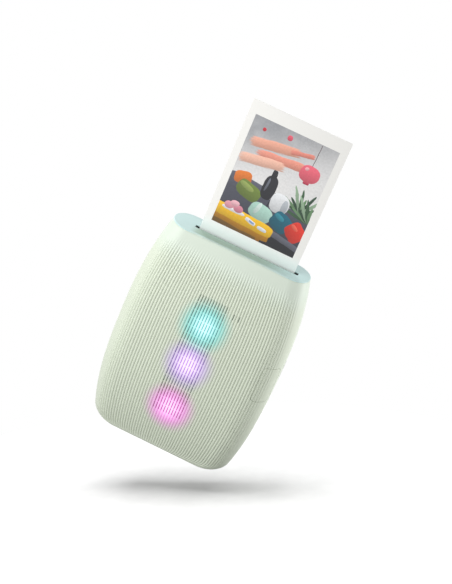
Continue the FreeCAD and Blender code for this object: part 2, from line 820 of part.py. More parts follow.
# Black lining of the slot: a collar in the cap and a flange under it
HALF_SLOT = "slot_length / 2"
collar = box(
    f"print_x - {HALF_SLOT} - liner_collar",
    f"print_x + {HALF_SLOT} + liner_collar",
    "print_y - slot_width / 2 - liner_collar",
    "print_y + slot_width / 2 + liner_collar",
    f"{CAP_UNDER} - liner_drop",
    "body_height - liner_recess",
)
flange = box(
    f"print_x - {HALF_SLOT} - liner_flange",
    f"print_x + {HALF_SLOT} + liner_flange",
    "print_y - slot_width / 2 - liner_flange",
    "print_y + slot_width / 2 + liner_flange",
    f"{CAP_UNDER} - liner_drop",
    CAP_UNDER,
)
throat = box(
    f"print_x - {HALF_SLOT}",
    f"print_x + {HALF_SLOT}",
    "print_y - slot_width / 2",
    "print_y + slot_width / 2",
    f"{CAP_UNDER} - liner_drop - overrun",
    "body_height + overrun",
)
keep("slot_liner", cut(fused(collar, flange), throat))

# Print, with its picture inlaid in the front
PICTURE_LEFT = "(print_x - picture_width / 2)"
PICTURE_FOOT = f"({PRINT_FOOT} + picture_foot)"


def picture_box(front):
    return box(
        PICTURE_LEFT,
        f"{PICTURE_LEFT} + picture_width",
        front,
        f"{PRINT_FRONT} + picture_thick",
        PICTURE_FOOT,
        f"{PICTURE_FOOT} + picture_height",
    )


sheet_of_film = box(
    PRINT_LEFT, PRINT_RIGHT, PRINT_FRONT, PRINT_BACK, PRINT_FOOT, f"{PRINT_FOOT} + print_height"
)
keep("photo_print", cut(sheet_of_film, picture_box(f"{PRINT_FRONT} - overrun")))
keep("print_picture", picture_box(PRINT_FRONT))

# Rollers: a steel shaft in a rubber sleeve, either side of the print
SLEEVE_LEFT = f"({PRINT_LEFT} - roller_over)"
SLEEVE_LENGTH = "(print_width + 2 * roller_over)"
SHAFT_RIGHT = f"({CHASSIS_RIGHT} + plate_thick + bush_flange + shaft_over)"
PLATE_LEFT = f"({CHASSIS_LEFT} - plate_thick)"
for name, y, radius, shaft_left in (
    ("drive", DRIVE_Y, "drive_shaft_radius", f"({GEAR_LEFT} - shaft_over)"),
    ("pinch", PINCH_Y, "pinch_shaft_radius", f"({PLATE_LEFT} - shaft_over)"),
):
    shaft = rod("x", radius, f"{SHAFT_RIGHT} - {shaft_left}", shaft_left, y, ROLLER_Z)
    keep(f"{name}_shaft", shaft)
    sleeve = pad(
        "YZ",
        [],
        SLEEVE_LENGTH,
        (SLEEVE_LEFT, y, ROLLER_Z),
        circles=[("0", "0", "roller_radius"), ("0", "0", radius)],
    )
    keep(f"{name}_sleeve", sleeve)

# Side plates that carry the rollers, with a bush in each hole
PLATE_TOP = f"({ROLLER_Z} + plate_top_margin)"
PLATE_BACK = f"({PINCH_Y} + plate_back_margin)"
PLATE_NECK = f"({DRIVE_Y} - drive_shaft_radius - bush_wall - plate_margin / 2)"
PLATE_FOOT = f"({MOTOR_Z} - motor_radius - plate_margin)"
PLATE_FRONT = f"({MOTOR_Y} - motor_radius + plate_motor_margin)"
roller_holes = [
    (DRIVE_Y, ROLLER_Z, "drive_shaft_radius + run_gap + bush_wall"),
    (PINCH_Y, ROLLER_Z, "pinch_shaft_radius + run_gap + bush_wall"),
]
left_outline = [
    (PLATE_FRONT, PLATE_FOOT),
    (PLATE_BACK, PLATE_FOOT),
    (PLATE_BACK, PLATE_TOP),
    (PLATE_NECK, PLATE_TOP),
    (PLATE_NECK, f"{HEAD_TOP}"),
    (PLATE_FRONT, f"{MOTOR_Z} + motor_radius"),
]
left_holes = roller_holes + [(MOTOR_Y, MOTOR_Z, "motor_shaft_hole")]
right_outline = [
    (HEAD_FRONT, PLATE_FOOT),
    (PLATE_BACK, PLATE_FOOT),
    (PLATE_BACK, PLATE_TOP),
    (PLATE_NECK, PLATE_TOP),
    (HEAD_FRONT, HEAD_TOP),
]
keep("left_roller_plate", pad("YZ", left_outline, "plate_thick", (PLATE_LEFT, "0", "0"), left_holes))
keep(
    "right_roller_plate",
    pad("YZ", right_outline, "plate_thick", (CHASSIS_RIGHT, "0", "0"), roller_holes),
)
bushes = []
for left in (PLATE_LEFT, CHASSIS_RIGHT):
    for y, radius in ((DRIVE_Y, "drive_shaft_radius"), (PINCH_Y, "pinch_shaft_radius")):
        ring = [("0", "0", f"{radius} + run_gap + bush_wall"), ("0", "0", f"{radius} + run_gap")]
        bushes.append(pad("YZ", [], "plate_thick", (left, y, ROLLER_Z), circles=ring))
keep("bearing_bushes", group(*bushes))


# Gear train
def gear_face(teeth, bore):
    """The outline of a spur gear round the origin, first tooth along the first axis."""
    module = sheet.gear_module
    pitch = module * teeth / 2
    base, tip = pitch * math.cos(PRESSURE_ANGLE), pitch + module * ADDENDUM_SHARE
    root = pitch - module * DEDENDUM_SHARE
    spread = math.tan(PRESSURE_ANGLE) - PRESSURE_ANGLE
    half_tooth = (math.pi * module / 2 - sheet.gear_backlash) / (2 * pitch)
    flank = [(root, half_tooth + spread)]
    for step in range(4):
        radius = base + (tip - base) * step / 3
        if radius > root:
            lean = math.acos(min(base / radius, 1))
            flank.append((radius, half_tooth + spread - (math.tan(lean) - lean)))
    points = []
    for tooth in range(teeth):
        middle = 2 * math.pi * tooth / teeth
        rising = [(radius, middle - angle) for radius, angle in flank]
        falling = [(radius, middle + angle) for radius, angle in reversed(flank)]
        for radius, angle in rising + falling:
            points.append(FreeCAD.Vector(0, radius * math.cos(angle), radius * math.sin(angle)))
    outline = Part.Wire(Part.makePolygon(points + points[:1]))
    hole = Part.Wire(Part.makeCircle(bore, FreeCAD.Vector(), FreeCAD.Vector(1, 0, 0)))
    return Part.Face(outline).cut(Part.Face(hole))


def gear(teeth, bore, phase, y, z):
    """A spur gear on the gear train's line, turned by its phase in radians."""
    solid = gear_face(int(teeth), bore).extrude(FreeCAD.Vector(sheet.gear_width, 0, 0))
    place = FreeCAD.Vector(value(GEAR_LEFT), value(y), value(z))
    turn = FreeCAD.Rotation(FreeCAD.Vector(1, 0, 0), math.degrees(phase))
    piece = shaped(solid)
    piece.Placement = FreeCAD.Placement(place, turn)
    return piece


def meshed_phase(phase, teeth, other_teeth, direction):
    """The phase of a gear that meshes with another one lying in a direction from it."""
    pitch_angle = 2 * math.pi / teeth
    behind = (direction - phase) % pitch_angle
    return direction + math.pi + behind * teeth / other_teeth + math.pi / other_teeth


toward_idler = math.radians(270 - IDLER_LEAN)
toward_motor = math.radians(270 - MOTOR_LEAN)
drive_phase = toward_idler
idler_phase = meshed_phase(drive_phase, sheet.drive_teeth, sheet.idler_teeth, toward_idler)
pinion_phase = meshed_phase(idler_phase, sheet.idler_teeth, sheet.pinion_teeth, toward_motor)
keep("drive_gear", gear(sheet.drive_teeth, sheet.drive_shaft_radius, drive_phase, DRIVE_Y, ROLLER_Z))
idler_bore = sheet.idler_post_radius + sheet.run_gap
keep("idler_gear", gear(sheet.idler_teeth, idler_bore, idler_phase, IDLER_Y, IDLER_Z))
keep(
    "motor_pinion",
    gear(sheet.pinion_teeth, sheet.motor_shaft_radius, pinion_phase, MOTOR_Y, MOTOR_Z),
)
POST_LEFT = f"({GEAR_LEFT} - post_head_gap - post_head_thick)"
keep(
    "idler_post",
    fused(
        rod("x", "idler_post_radius", f"{PLATE_LEFT} - {POST_LEFT}", POST_LEFT, IDLER_Y, IDLER_Z),
        rod("x", "post_head_radius", "post_head_thick", POST_LEFT, IDLER_Y, IDLER_Z),
    ),
)

# Motor: a can on the left plate and a shaft with its pinion
can = rod("x", "motor_radius", "motor_length", CHASSIS_LEFT, MOTOR_Y, MOTOR_Z)
can_bore = rod(
    "x", "motor_shaft_radius + run_gap", "motor_bore_depth + overrun",
    f"{CHASSIS_LEFT} - overrun", MOTOR_Y, MOTOR_Z,
)
keep("motor", cut(can, can_bore))
MOTOR_SHAFT_LEFT = f"({GEAR_LEFT} - shaft_over)"
keep(
    "motor_shaft",
    rod(
        "x", "motor_shaft_radius", f"{CHASSIS_LEFT} + motor_bore_depth - run_gap - {MOTOR_SHAFT_LEFT}",
        MOTOR_SHAFT_LEFT, MOTOR_Y, MOTOR_Z,
    ),
)

# Exposure head in front of the film and the guide behind it
LENS_FOOT = f"({HEAD_FOOT} + head_height / 2 - lens_height / 2)"
LENS_ROUND = (SLEEVE_LEFT, f"{SLEEVE_LEFT} + {SLEEVE_LENGTH}")


def lens_box(back):
    return box(
        *LENS_ROUND, f"{HEAD_BACK} - lens_sunk", back, LENS_FOOT, f"{LENS_FOOT} + lens_height"
    )


head_block = box(CHASSIS_LEFT, CHASSIS_RIGHT, HEAD_FRONT, HEAD_BACK, HEAD_FOOT, HEAD_TOP)
keep("exposure_head", cut(head_block, lens_box(f"{HEAD_BACK} + overrun")))
keep("exposure_lens", lens_box(f"{HEAD_BACK} + lens_stand"))
GUIDE_FRONT = f"({PRINT_BACK} + guide_gap)"
keep(
    "film_guide",
    box(
        CHASSIS_LEFT, CHASSIS_RIGHT, GUIDE_FRONT, f"{GUIDE_FRONT} + guide_thick",
        f"{HEAD_TOP} - guide_height", HEAD_TOP,
    ),
)

# Film pack: a shell with a window, a mouth for the film and two holes for the door's pads
HOOK_FOOT = f"({PRINT_IN_PACK} - claw_hook_gap - claw_hook_thick)"
HOOK_TOP = f"({PRINT_IN_PACK} - claw_hook_gap)"
CLAW_FRONT = "(print_y - claw_thick / 2)"
CLAW_RIGHT = f"({PRINT_LEFT} + claw_hook_reach)"


def claw_slot(x_from, x_to):
    """The space that the claw's hook passes through, over its whole travel."""
    return box(
        x_from, x_to, f"{CLAW_FRONT} - claw_slot_gap", f"{CLAW_FRONT} + claw_thick + claw_slot_gap",
        f"{HOOK_FOOT} - 3 * claw_slot_gap", f"{HOOK_TOP} + claw_travel + 2 * claw_slot_gap",
    )


pack_block = box(PACK_LEFT, PACK_RIGHT, PACK_FRONT, PACK_BACK, PACK_FOOT, PACK_TOP)
pack_space = box(
    f"{PACK_LEFT} + pack_wall", f"{PACK_RIGHT} - pack_wall", f"{PACK_FRONT} + pack_wall",
    f"{PACK_BACK} - pack_wall", f"{PACK_FOOT} + pack_wall", f"{PACK_TOP} - pack_wall",
)
pack_mouth = box(
    f"{PACK_LEFT} + pack_wall", f"{PACK_RIGHT} - pack_wall", f"{PACK_FRONT} + pack_wall",
    f"{PACK_FRONT} + pack_wall + pack_mouth", f"{PACK_TOP} - 2 * pack_wall", f"{PACK_TOP} + overrun",
)
pack_window = box(
    PICTURE_LEFT, f"{PICTURE_LEFT} + picture_width", f"{PACK_FRONT} - overrun",
    f"{PACK_FRONT} + pack_wall + run_gap", f"{PRINT_IN_PACK} + picture_foot",
    f"{PRINT_IN_PACK} + picture_foot + picture_height",
)


def pad_box(side, margin, y_from, y_to):
    """The space of one pressing pad of the door, with a margin round it."""
    middle = f"(print_x {side} pad_spread)"
    half_width, half_height = f"(pad_width / 2 + {margin})", f"(pad_height / 2 + {margin})"
    return (
        f"{middle} - {half_width}", f"{middle} + {half_width}", y_from, y_to,
        f"pad_z - {half_height}", f"pad_z + {half_height}",
    )


pad_holes = [
    box(*pad_box(side, "pad_hole_margin", f"{PACK_BACK} - 2 * pack_wall", f"{PACK_BACK} + overrun"))
    for side in "-+"
]
hook_notch = claw_slot(f"{PACK_LEFT} - overrun", f"{CLAW_RIGHT} + claw_slot_gap")
keep("film_pack", cut(pack_block, pack_space, pack_mouth, pack_window, *pad_holes, hook_notch))
keep(
    "film_stack",
    box(PRINT_LEFT, PRINT_RIGHT, STACK_FRONT, STACK_BACK, PRINT_IN_PACK, f"{PRINT_IN_PACK} + print_height"),
)
SPRING_FRONT = f"({STACK_BACK} + pack_spring_gap)"
SPRING_BACK = f"({PACK_BACK} - pack_wall - pack_spring_gap)"
SPRING_LOW, SPRING_HIGH = "(pad_z - pack_spring_height / 2)", "(pad_z + pack_spring_height / 2)"
FLAT_LOW, FLAT_HIGH = "(pad_z - pack_spring_flat / 2)", "(pad_z + pack_spring_flat / 2)"
spring_outline = [
    (SPRING_FRONT, SPRING_LOW),
    (f"{SPRING_FRONT} + pack_spring_thick", SPRING_LOW),
    (SPRING_BACK, FLAT_LOW),
    (SPRING_BACK, FLAT_HIGH),
    (f"{SPRING_FRONT} + pack_spring_thick", SPRING_HIGH),
    (SPRING_FRONT, SPRING_HIGH),
    (f"{SPRING_BACK} - pack_spring_thick", FLAT_HIGH),
    (f"{SPRING_BACK} - pack_spring_thick", FLAT_LOW),
]
keep(
    "pack_spring",
    pad("YZ", spring_outline, "pack_spring_width", ("print_x - pack_spring_width / 2", "0", "0")),
)

# Claw that lifts the film: a flat hook in a guide on the chassis
GUIDE_TOP = "(claw_guide_z + claw_guide_height)"
claw_outline = [
    ("claw_leg_left", "claw_foot"),
    ("claw_leg_left + claw_leg", "claw_foot"),
    ("claw_leg_left + claw_leg", HOOK_FOOT),
    (CLAW_RIGHT, HOOK_FOOT),
    (CLAW_RIGHT, HOOK_TOP),
    ("claw_leg_left + claw_leg", HOOK_TOP),
    ("claw_leg_left + claw_leg", "claw_foot + claw_height"),
    ("claw_leg_left", "claw_foot + claw_height"),
]
keep(
    "film_claw",
    pad("XZ", claw_outline, "claw_thick", ("0", CLAW_FRONT, "0"), toward_back=True),
)

# Chassis: walls round the film pack, ears on the front cover's bosses, stands for the board
walls = [
    box(CHASSIS_LEFT, CHASSIS_RIGHT, CHASSIS_FACE, f"{CHASSIS_FACE} + chassis_wall",
        SHELF_FOOT, CHASSIS_TOP),
    box(PRINT_LEFT, PRINT_RIGHT, CHASSIS_FACE, f"{CHASSIS_FACE} + chassis_wall",
        "wall + chassis_foot_gap", SHELF_FOOT),
    box(CHASSIS_LEFT, f"{CHASSIS_LEFT} + chassis_wall", CHASSIS_FACE, CHASSIS_BACK,
        SHELF_FOOT, CHASSIS_TOP),
    box(f"{CHASSIS_RIGHT} - chassis_wall", CHASSIS_RIGHT, CHASSIS_FACE, CHASSIS_BACK,
        SHELF_FOOT, CHASSIS_TOP),
    box(CHASSIS_LEFT, CHASSIS_RIGHT, CHASSIS_FACE, CHASSIS_BACK, SHELF_FOOT, CHASSIS_SHELF),
    box(f"{BATTERY_LEFT} - chassis_wall", CHASSIS_LEFT, CHASSIS_FACE, f"{CHASSIS_FACE} + chassis_wall",
        "battery_foot", "battery_foot + battery_height"),
]
ears = []
for x, z in EAR_PLACES:
    half = "ear_height / 2"
    ears.append(
        box(f"{x} - ear_length / 2 - chassis_wall / 2", f"{x} + ear_length / 2 + chassis_wall / 2",
            CHASSIS_FACE, f"{CHASSIS_FACE} + chassis_wall", f"{z} - {half}", f"{z} + {half}")
    )
stands = [
    rod("y", "board_stand_radius", "board_stand + chassis_wall", x, BOARD_BACK, z)
    for x, z in BOARD_SCREW_PLACES
]
claw_guide = box(
    "claw_leg_left - run_gap - claw_guide_wall", f"{CHASSIS_LEFT} + chassis_wall",
    "print_y - claw_guide_depth / 2", "print_y + claw_guide_depth / 2", "claw_guide_z", GUIDE_TOP,
)
bracket = shaped(leaning_block(sheet.bracket_width, sheet.bracket_height, 0, sheet.bracket_thick))
guide_slot = box(
    "claw_leg_left - 2 * run_gap", "claw_leg_left + claw_leg + 2 * run_gap",
    f"{CLAW_FRONT} - 2 * run_gap", f"{CLAW_FRONT} + claw_thick + 2 * run_gap",
    "claw_guide_z - overrun", f"{GUIDE_TOP} + overrun",
)
chassis_window = box(
    f"{CHASSIS_LEFT} + chassis_window_margin", f"{CHASSIS_RIGHT} - chassis_window_margin",
    f"{CHASSIS_FACE} - overrun", f"{CHASSIS_FACE} + chassis_wall + run_gap",
    "board_foot + board_height + chassis_window_margin / 2", f"{CHASSIS_TOP} - chassis_window_margin / 2",
)
ear_holes = [
    rod("y", "screw_radius + run_gap", "chassis_wall + 2 * overrun", x, f"{CHASSIS_FACE} - overrun", z)
    for x, z in EAR_PLACES
]
stand_holes = [
    rod("y", "screw_radius", "board_stand + chassis_wall + 2 * overrun", x, f"{BOARD_BACK} - overrun", z)
    for x, z in BOARD_SCREW_PLACES
]
frame_body = fused(*walls, *ears, *stands, claw_guide, bracket)
hook_path = claw_slot(f"{CHASSIS_LEFT} - overrun", f"{CHASSIS_LEFT} + chassis_wall + run_gap")
keep("chassis", cut(frame_body, guide_slot, hook_path, chassis_window, *ear_holes, *stand_holes))

# Lights: a curved diffuser on the front cover, a frame behind it and a board with three lights
skin_gap = sheet.wall + sheet.diffuser_gap
diffuser_low = sheet.diffuser_foot
diffuser_top = value("diffuser_foot + diffuser_height")
strip = barrel(diffuser_low, diffuser_top, skin_gap).cut(
    barrel(diffuser_low - sheet.overrun, diffuser_top + sheet.overrun, skin_gap + sheet.diffuser_thick)
)
strip_space = block(
    "light_x - diffuser_width / 2", "light_x + diffuser_width / 2", OUTSIDE_FRONT, "0", "0", "body_height"
)
keep("light_diffuser", shaped(strip.common(strip_space)))

FRAME_LEFT, FRAME_RIGHT = "(light_x - frame_width / 2)", "(light_x + frame_width / 2)"
FRAME_FOOT, FRAME_TOP = "(diffuser_foot - frame_margin)", "(diffuser_foot + diffuser_height + frame_margin)"
frame_outline = [
    (FRAME_LEFT, FRAME_FOOT),
    (FRAME_RIGHT, FRAME_FOOT),
    (FRAME_RIGHT, FRAME_TOP),
    (FRAME_LEFT, FRAME_TOP),
]
frame_plate = pad(
    "XZ", frame_outline, "frame_thick", ("0", "frame_y", "0"),
    circles=[("light_x", z, "frame_hole") for z in ("light_low", "light_middle", "light_high")],
    toward_back=True,
)
frame_ears = [
    box(f"{x} - frame_ear / 2", f"{x} + frame_ear / 2", "frame_y", FRAME_BACK,
        f"{z} - frame_ear / 2", f"{z} + frame_ear / 2")
    for x, z in FRAME_SCREW_PLACES
]
frame_holes = [
    rod("y", "screw_radius + run_gap", "frame_thick + 2 * overrun", x, "frame_y - overrun", z)
    for x, z in FRAME_SCREW_PLACES
]
keep("light_frame", cut(fused(frame_plate, *frame_ears), *frame_holes))
keep(
    "led_board",
    pad(
        "XZ",
        rectangle("light_x - led_board_width / 2", "led_board_foot",
                  "light_x + led_board_width / 2", "led_board_foot + led_board_height"),
        "led_board_thick", ("0", FRAME_BACK, "0"), toward_back=True,
    ),
)
for name, z in (("lower", "light_low"), ("middle", "light_middle"), ("upper", "light_high")):
    half = "led_size / 2"
    keep(
        f"led_{name}",
        box(f"light_x - {half}", f"light_x + {half}", f"{FRAME_BACK} - led_thick", FRAME_BACK,
            f"{z} - {half}", f"{z} + {half}"),
    )

# Main board with its chips, radio and plugs
keep(
    "main_board",
    pad(
        "XZ", rectangle("board_left", "board_foot", "board_left + board_width", "board_foot + board_height"),
        "board_thick", ("0", BOARD_FRONT, "0"),
        circles=[(x, z, "screw_radius + run_gap") for x, z in BOARD_SCREW_PLACES], toward_back=True,
    ),
)


def on_board(left, foot, width, height, thick):
    """A component on the front of the main board."""
    return box(left, f"{left} + {width}", f"{BOARD_FRONT} - {thick}", BOARD_FRONT, foot, f"{foot} + {height}")


CHIP_LEFT = "(board_left + board_width - board_screw_inset * 2 - chip_size)"
# How far up the board the chips stand, as shares of a chip's height.
CHIP_ROW_SHARES = (0.5, 1.8, 3.1)
keep(
    "board_chips",
    group(*(
        on_board(CHIP_LEFT, f"(board_foot + chip_size * {row})", "chip_size", "chip_size", "chip_thick")
        for row in CHIP_ROW_SHARES
    )),
)
keep(
    "radio_module",
    on_board("(board_left + board_screw_inset * 2)", "(board_foot + board_screw_inset)",
             "radio_width", "radio_height", "radio_thick"),
)
PLUG_FOOT = "(board_foot + board_height - plug_height)"
keep("head_plug", on_board("(plug_x - plug_width / 2)", PLUG_FOOT, "plug_width", "plug_height", "plug_thick"))
keep(
    "led_plug",
    box("light_x - plug_width / 2", "light_x + plug_width / 2", f"{FRAME_BACK} + led_board_thick",
        BOARD_FRONT, "led_plug_z", "led_plug_z + plug_height"),
)
RIBBON_BACK = f"({BOARD_FRONT} - plug_thick + ribbon_thick)"
keep(
    "head_ribbon",
    box("plug_x - ribbon_width / 2", "plug_x + ribbon_width / 2", f"{BOARD_FRONT} - plug_thick - ribbon_thick",
        f"{BOARD_FRONT} - plug_thick", f"{PLUG_FOOT} + plug_height / 2", HEAD_FOOT),
)

# Battery on the wing of the chassis, with its leads to the main board
BATTERY_TOP = "(battery_foot + battery_height)"
keep(
    "battery",
    box(BATTERY_LEFT, f"{BATTERY_LEFT} + battery_width", f"{BATTERY_BACK} - battery_thick", BATTERY_BACK,
        "battery_foot", BATTERY_TOP),
)
keep(
    "battery_leads",
    group(*(
        rod("x", "battery_lead_radius", "battery_gap", f"{BATTERY_LEFT} + battery_width",
            f"{BOARD_FRONT} + board_thick / 2", f"{BATTERY_TOP} - battery_lead_drop - battery_lead_pitch * {turn}")
        for turn in range(2)
    )),
)

# Switch of the side button, on a small board on the chassis bracket
bracket_out = sheet.bracket_thick
board_size = sheet.switch_board_size
keep("switch_board", shaped(leaning_block(board_size, board_size, bracket_out, switch_out())))
keep(
    "button_switch",
    shaped(leaning_block(
        sheet.switch_size, sheet.switch_size, switch_out(),
        switch_out() + sheet.switch_thick - sheet.button_travel - sheet.run_gap,
    )),
)

# Charging port on its own small board beside the chassis
PORT_RIGHT = "(body_width / 2 - port_sunk)"
PORT_LEFT = f"({PORT_RIGHT} - port_length)"
PORT_FRONT, PORT_BACK = "(port_y - port_thick / 2)", "(port_y + port_thick / 2)"
PORT_FOOT, PORT_TOP = "(port_z - port_width / 2)", "(port_z + port_width / 2)"
port_case = box(PORT_LEFT, PORT_RIGHT, PORT_FRONT, PORT_BACK, PORT_FOOT, PORT_TOP)
port_bore = box(
    f"{PORT_RIGHT} - port_depth", f"{PORT_RIGHT} + overrun", f"{PORT_FRONT} + port_wall",
    f"{PORT_BACK} - port_wall", f"{PORT_FOOT} + port_wall", f"{PORT_TOP} - port_wall",
)
tongue = box(
    f"{PORT_RIGHT} - port_depth - port_wall", f"{PORT_RIGHT} - port_tongue", "port_y - port_tongue / 2",
    "port_y + port_tongue / 2", f"{PORT_FOOT} + port_tongue_margin", f"{PORT_TOP} - port_tongue_margin",
)
keep("charging_port", fused(cut(port_case, port_bore), tongue))
keep(
    "port_board",
    box(CHASSIS_RIGHT, "body_width / 2 - wall - overrun", f"{PORT_FRONT} - port_board_thick", PORT_FRONT,
        "port_z - port_board_height / 2", "port_z + port_board_height / 2"),
)


# Film door with its catch and its pressing pads
def make_film_door():
    """The back skin between the hinge and the top edge, with a full length hinge barrel."""
    upright, knuckle = door_space("0")
    skin = barrel(0, value(CAP_SEAT)).cut(inner_space).common(upright)
    door = skin.fuse(knuckle)
    pin_hole = Part.makeCylinder(
        sheet.hinge_pin_radius + sheet.run_gap, knuckle.BoundBox.XLength,
        FreeCAD.Vector(knuckle.BoundBox.XMin, hinge_y(), sheet.hinge_z), FreeCAD.Vector(1, 0, 0),
    )
    catch_hole = block(
        "print_x - catch_width / 2 - catch_gap", "print_x + catch_width / 2 + catch_gap", "catch_y",
        OUTSIDE_BACK, f"{CATCH_FOOT} - catch_travel - catch_gap", f"{CATCH_FOOT} + catch_height + catch_gap",
    )
    return door.cut([pin_hole, catch_hole]).removeSplitter()


film_door = make_film_door()
keep("film_door", shaped(film_door))
pins = []
for edge, side in ((door_space("0")[1].BoundBox.XMin, -1), (door_space("0")[1].BoundBox.XMax, 1)):
    start = FreeCAD.Vector(edge + side * sheet.hinge_lug, hinge_y(), sheet.hinge_z)
    inward = FreeCAD.Vector(-side, 0, 0)
    pins.append(Part.makeCylinder(sheet.hinge_pin_radius, sheet.hinge_pin_length, start, inward))
keep("hinge_pins", shaped(Part.makeCompound(pins)))
pads = [
    block(*pad_box(side, "0", f"{PACK_BACK} - pack_wall + run_gap", OUTSIDE_BACK)).common(inner_space)
    for side in "-+"
]
keep("pressing_pads", shaped(Part.makeCompound(pads)))


def make_door_catch():
    """A slider with a ribbed thumb piece, a flange inside the door and a nose above it."""
    thumb = block(
        "print_x - catch_width / 2", "print_x + catch_width / 2", "catch_y", OUTSIDE_BACK,
        CATCH_FOOT, f"{CATCH_FOOT} + catch_height",
    )
    thumb = thumb.common(barrel(0, value(CAP_SEAT), sheet.catch_sunk))
    flange = block(
        "print_x - catch_width / 2 - catch_flange", "print_x + catch_width / 2 + catch_flange",
        "catch_y", "catch_y + catch_flange_thick", FLANGE_FOOT, FLANGE_TOP,
    )
    nose = block(
        "print_x - nose_width / 2", "print_x + nose_width / 2", "catch_y",
        "catch_y + catch_flange_thick", f"{FLANGE_TOP} - overrun", f"{FLANGE_TOP} + nose_reach",
    )
    return thumb.fuse([flange, nose]).removeSplitter()


keep("door_catch", shaped(make_door_catch()))

# Spring of the catch: a folded strip that stands on a rest inside the door
SPRING_FOOT = f"({FLANGE_FOOT} - catch_spring_height)"
FOLDS = 4
fold_step = f"(catch_spring_height / {FOLDS})"
zigzag_left, zigzag_right = [], []
for fold in range(FOLDS + 1):
    side = "-" if fold % 2 else "+"
    x = f"(print_x {side} catch_spring_width / 2)"
    z = f"({SPRING_FOOT} + {fold_step} * {fold})"
    zigzag_left.append((x, f"{z} - catch_spring_wire / 2" if 0 < fold else z))
    zigzag_right.append((x, f"{z} + catch_spring_wire / 2" if fold < FOLDS else z))
keep(
    "catch_spring",
    pad("XZ", zigzag_left + zigzag_right[::-1], "catch_flange_thick", ("0", "catch_y", "0"),
        toward_back=True),
)
rest = block(
    "print_x - catch_width / 2", "print_x + catch_width / 2", "catch_y", OUTSIDE_BACK,
    f"{SPRING_FOOT} - catch_rest_thick", SPRING_FOOT,
)
keep("catch_rest", shaped(rest.common(inner_space)))


# Screws
def screws(places, seat, length):
    """A row of pan head screws whose heads rest on a seat, with their threads toward the front."""
    pieces = []
    for x, z in places:
        head = rod("y", "screw_head_radius", "screw_head_thick", x, seat, z)
        thread = rod("y", "screw_radius", length, x, f"{seat} - ({length})", z)
        pieces.append(fused(head, thread))
    return group(*pieces)


keep("housing_screws", screws(HOUSING_SCREW_PLACES, "(parting_y + screw_floor)", "screw_length"))
keep("chassis_screws", screws(EAR_PLACES, f"({CHASSIS_FACE} + chassis_wall)", "screw_length"))


def front_screws(places, seat, length):
    """Screws whose heads rest in front of a seat, with their threads toward the back."""
    pieces = []
    for x, z in places:
        head = rod("y", "screw_head_radius", "screw_head_thick", x, f"{seat} - screw_head_thick", z)
        thread = rod("y", "screw_radius", length, x, seat, z)
        pieces.append(fused(head, thread))
    return group(*pieces)


keep("board_screws", front_screws(BOARD_SCREW_PLACES, BOARD_FRONT, "board_thick + board_stand"))
keep("light_screws", screws(FRAME_SCREW_PLACES, FRAME_BACK, "frame_thick + screw_radius"))

# Every object has to be sound before anything is written
doc.recompute()
for thing in doc.Objects:
    if {"Invalid", "Error"} & set(thing.State):
        raise RuntimeError(f"{thing.Label} failed: {thing.State}")
os.makedirs("parts", exist_ok=True)
for node, thing in parts.items():
    if thing.Shape.isNull() or not thing.Shape.isValid() or not thing.Shape.Solids:
        raise RuntimeError(f"{node} is not a sound solid")
for node, thing in parts.items():
    thing.Shape.exportStep(f"parts/{node}.step")
print(len(parts), "nodes written")
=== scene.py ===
import math

import bmesh
import bpy
from mathutils import Matrix, Vector


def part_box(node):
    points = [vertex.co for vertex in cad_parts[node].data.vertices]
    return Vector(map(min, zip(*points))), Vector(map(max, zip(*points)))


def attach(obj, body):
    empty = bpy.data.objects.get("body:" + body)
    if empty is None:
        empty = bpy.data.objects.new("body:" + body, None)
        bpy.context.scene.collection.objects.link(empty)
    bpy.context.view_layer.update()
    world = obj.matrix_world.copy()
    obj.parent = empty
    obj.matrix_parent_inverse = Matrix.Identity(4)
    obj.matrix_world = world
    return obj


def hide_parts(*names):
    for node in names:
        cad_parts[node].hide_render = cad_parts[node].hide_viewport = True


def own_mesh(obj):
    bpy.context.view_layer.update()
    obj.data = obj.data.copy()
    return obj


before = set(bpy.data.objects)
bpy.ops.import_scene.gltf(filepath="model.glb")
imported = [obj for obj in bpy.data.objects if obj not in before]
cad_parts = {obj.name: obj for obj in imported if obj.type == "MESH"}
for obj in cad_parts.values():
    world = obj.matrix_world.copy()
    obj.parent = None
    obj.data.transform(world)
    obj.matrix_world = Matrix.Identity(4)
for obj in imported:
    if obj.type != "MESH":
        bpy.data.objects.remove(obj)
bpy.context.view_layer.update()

# Compact photo printer with a ribbed front, three lights and a print in its slot.
# X runs to the right, Y to the back and Z up. Sizes below are in millimetres.
MM = 0.001
PHOTO_SIZE = (452, 584)

# Barrel shaped body
BODY_WIDTH, BODY_DEPTH, BODY_HEIGHT = 90.5, 37.3, 125.0
TOP_WIDTH, TOP_DEPTH = 77.0, 20.8
CORNER_MIDDLE, CORNER_TOP = 13.0, 9.8
FOOT_SIDE_ROUND, FOOT_FACE_ROUND = 7.0, 2.0
BARREL_POWER = 2.6
WALL = 1.8
PARTING = 0.2
CAP_SEAT = 124.5
CAP_ROUND = 0.3
SEAM = 0.2
CORNER_STEPS = 14

# Heights at which the body is drawn: round its foot, along it, and where the ribs fade
FOOT_STEPS, BODY_STEPS, FADE_STEPS = 10, 40, 14
BODY_STEP, FADE_STEP, LEAST_STEP = 2.4, 1.3, 0.02

# Upright ribs of the front cover
RIB_COUNT = 57
RIB_STEPS = 8
RIB_EDGE_COUNT = 4
RIB_DEPTH, RIB_FAINT = 0.45, 0.004
RIB_FOOT_FADE = 5.0
RIB_TOP_FADE = (109.3, 121.3)
RIB_WRAP = 1.0

# Lights behind the ribs: across, and up for the lower, middle and upper one
LIGHT_X = -0.2
LIGHT_HEIGHTS = (30.7, 59.2, 83.0)

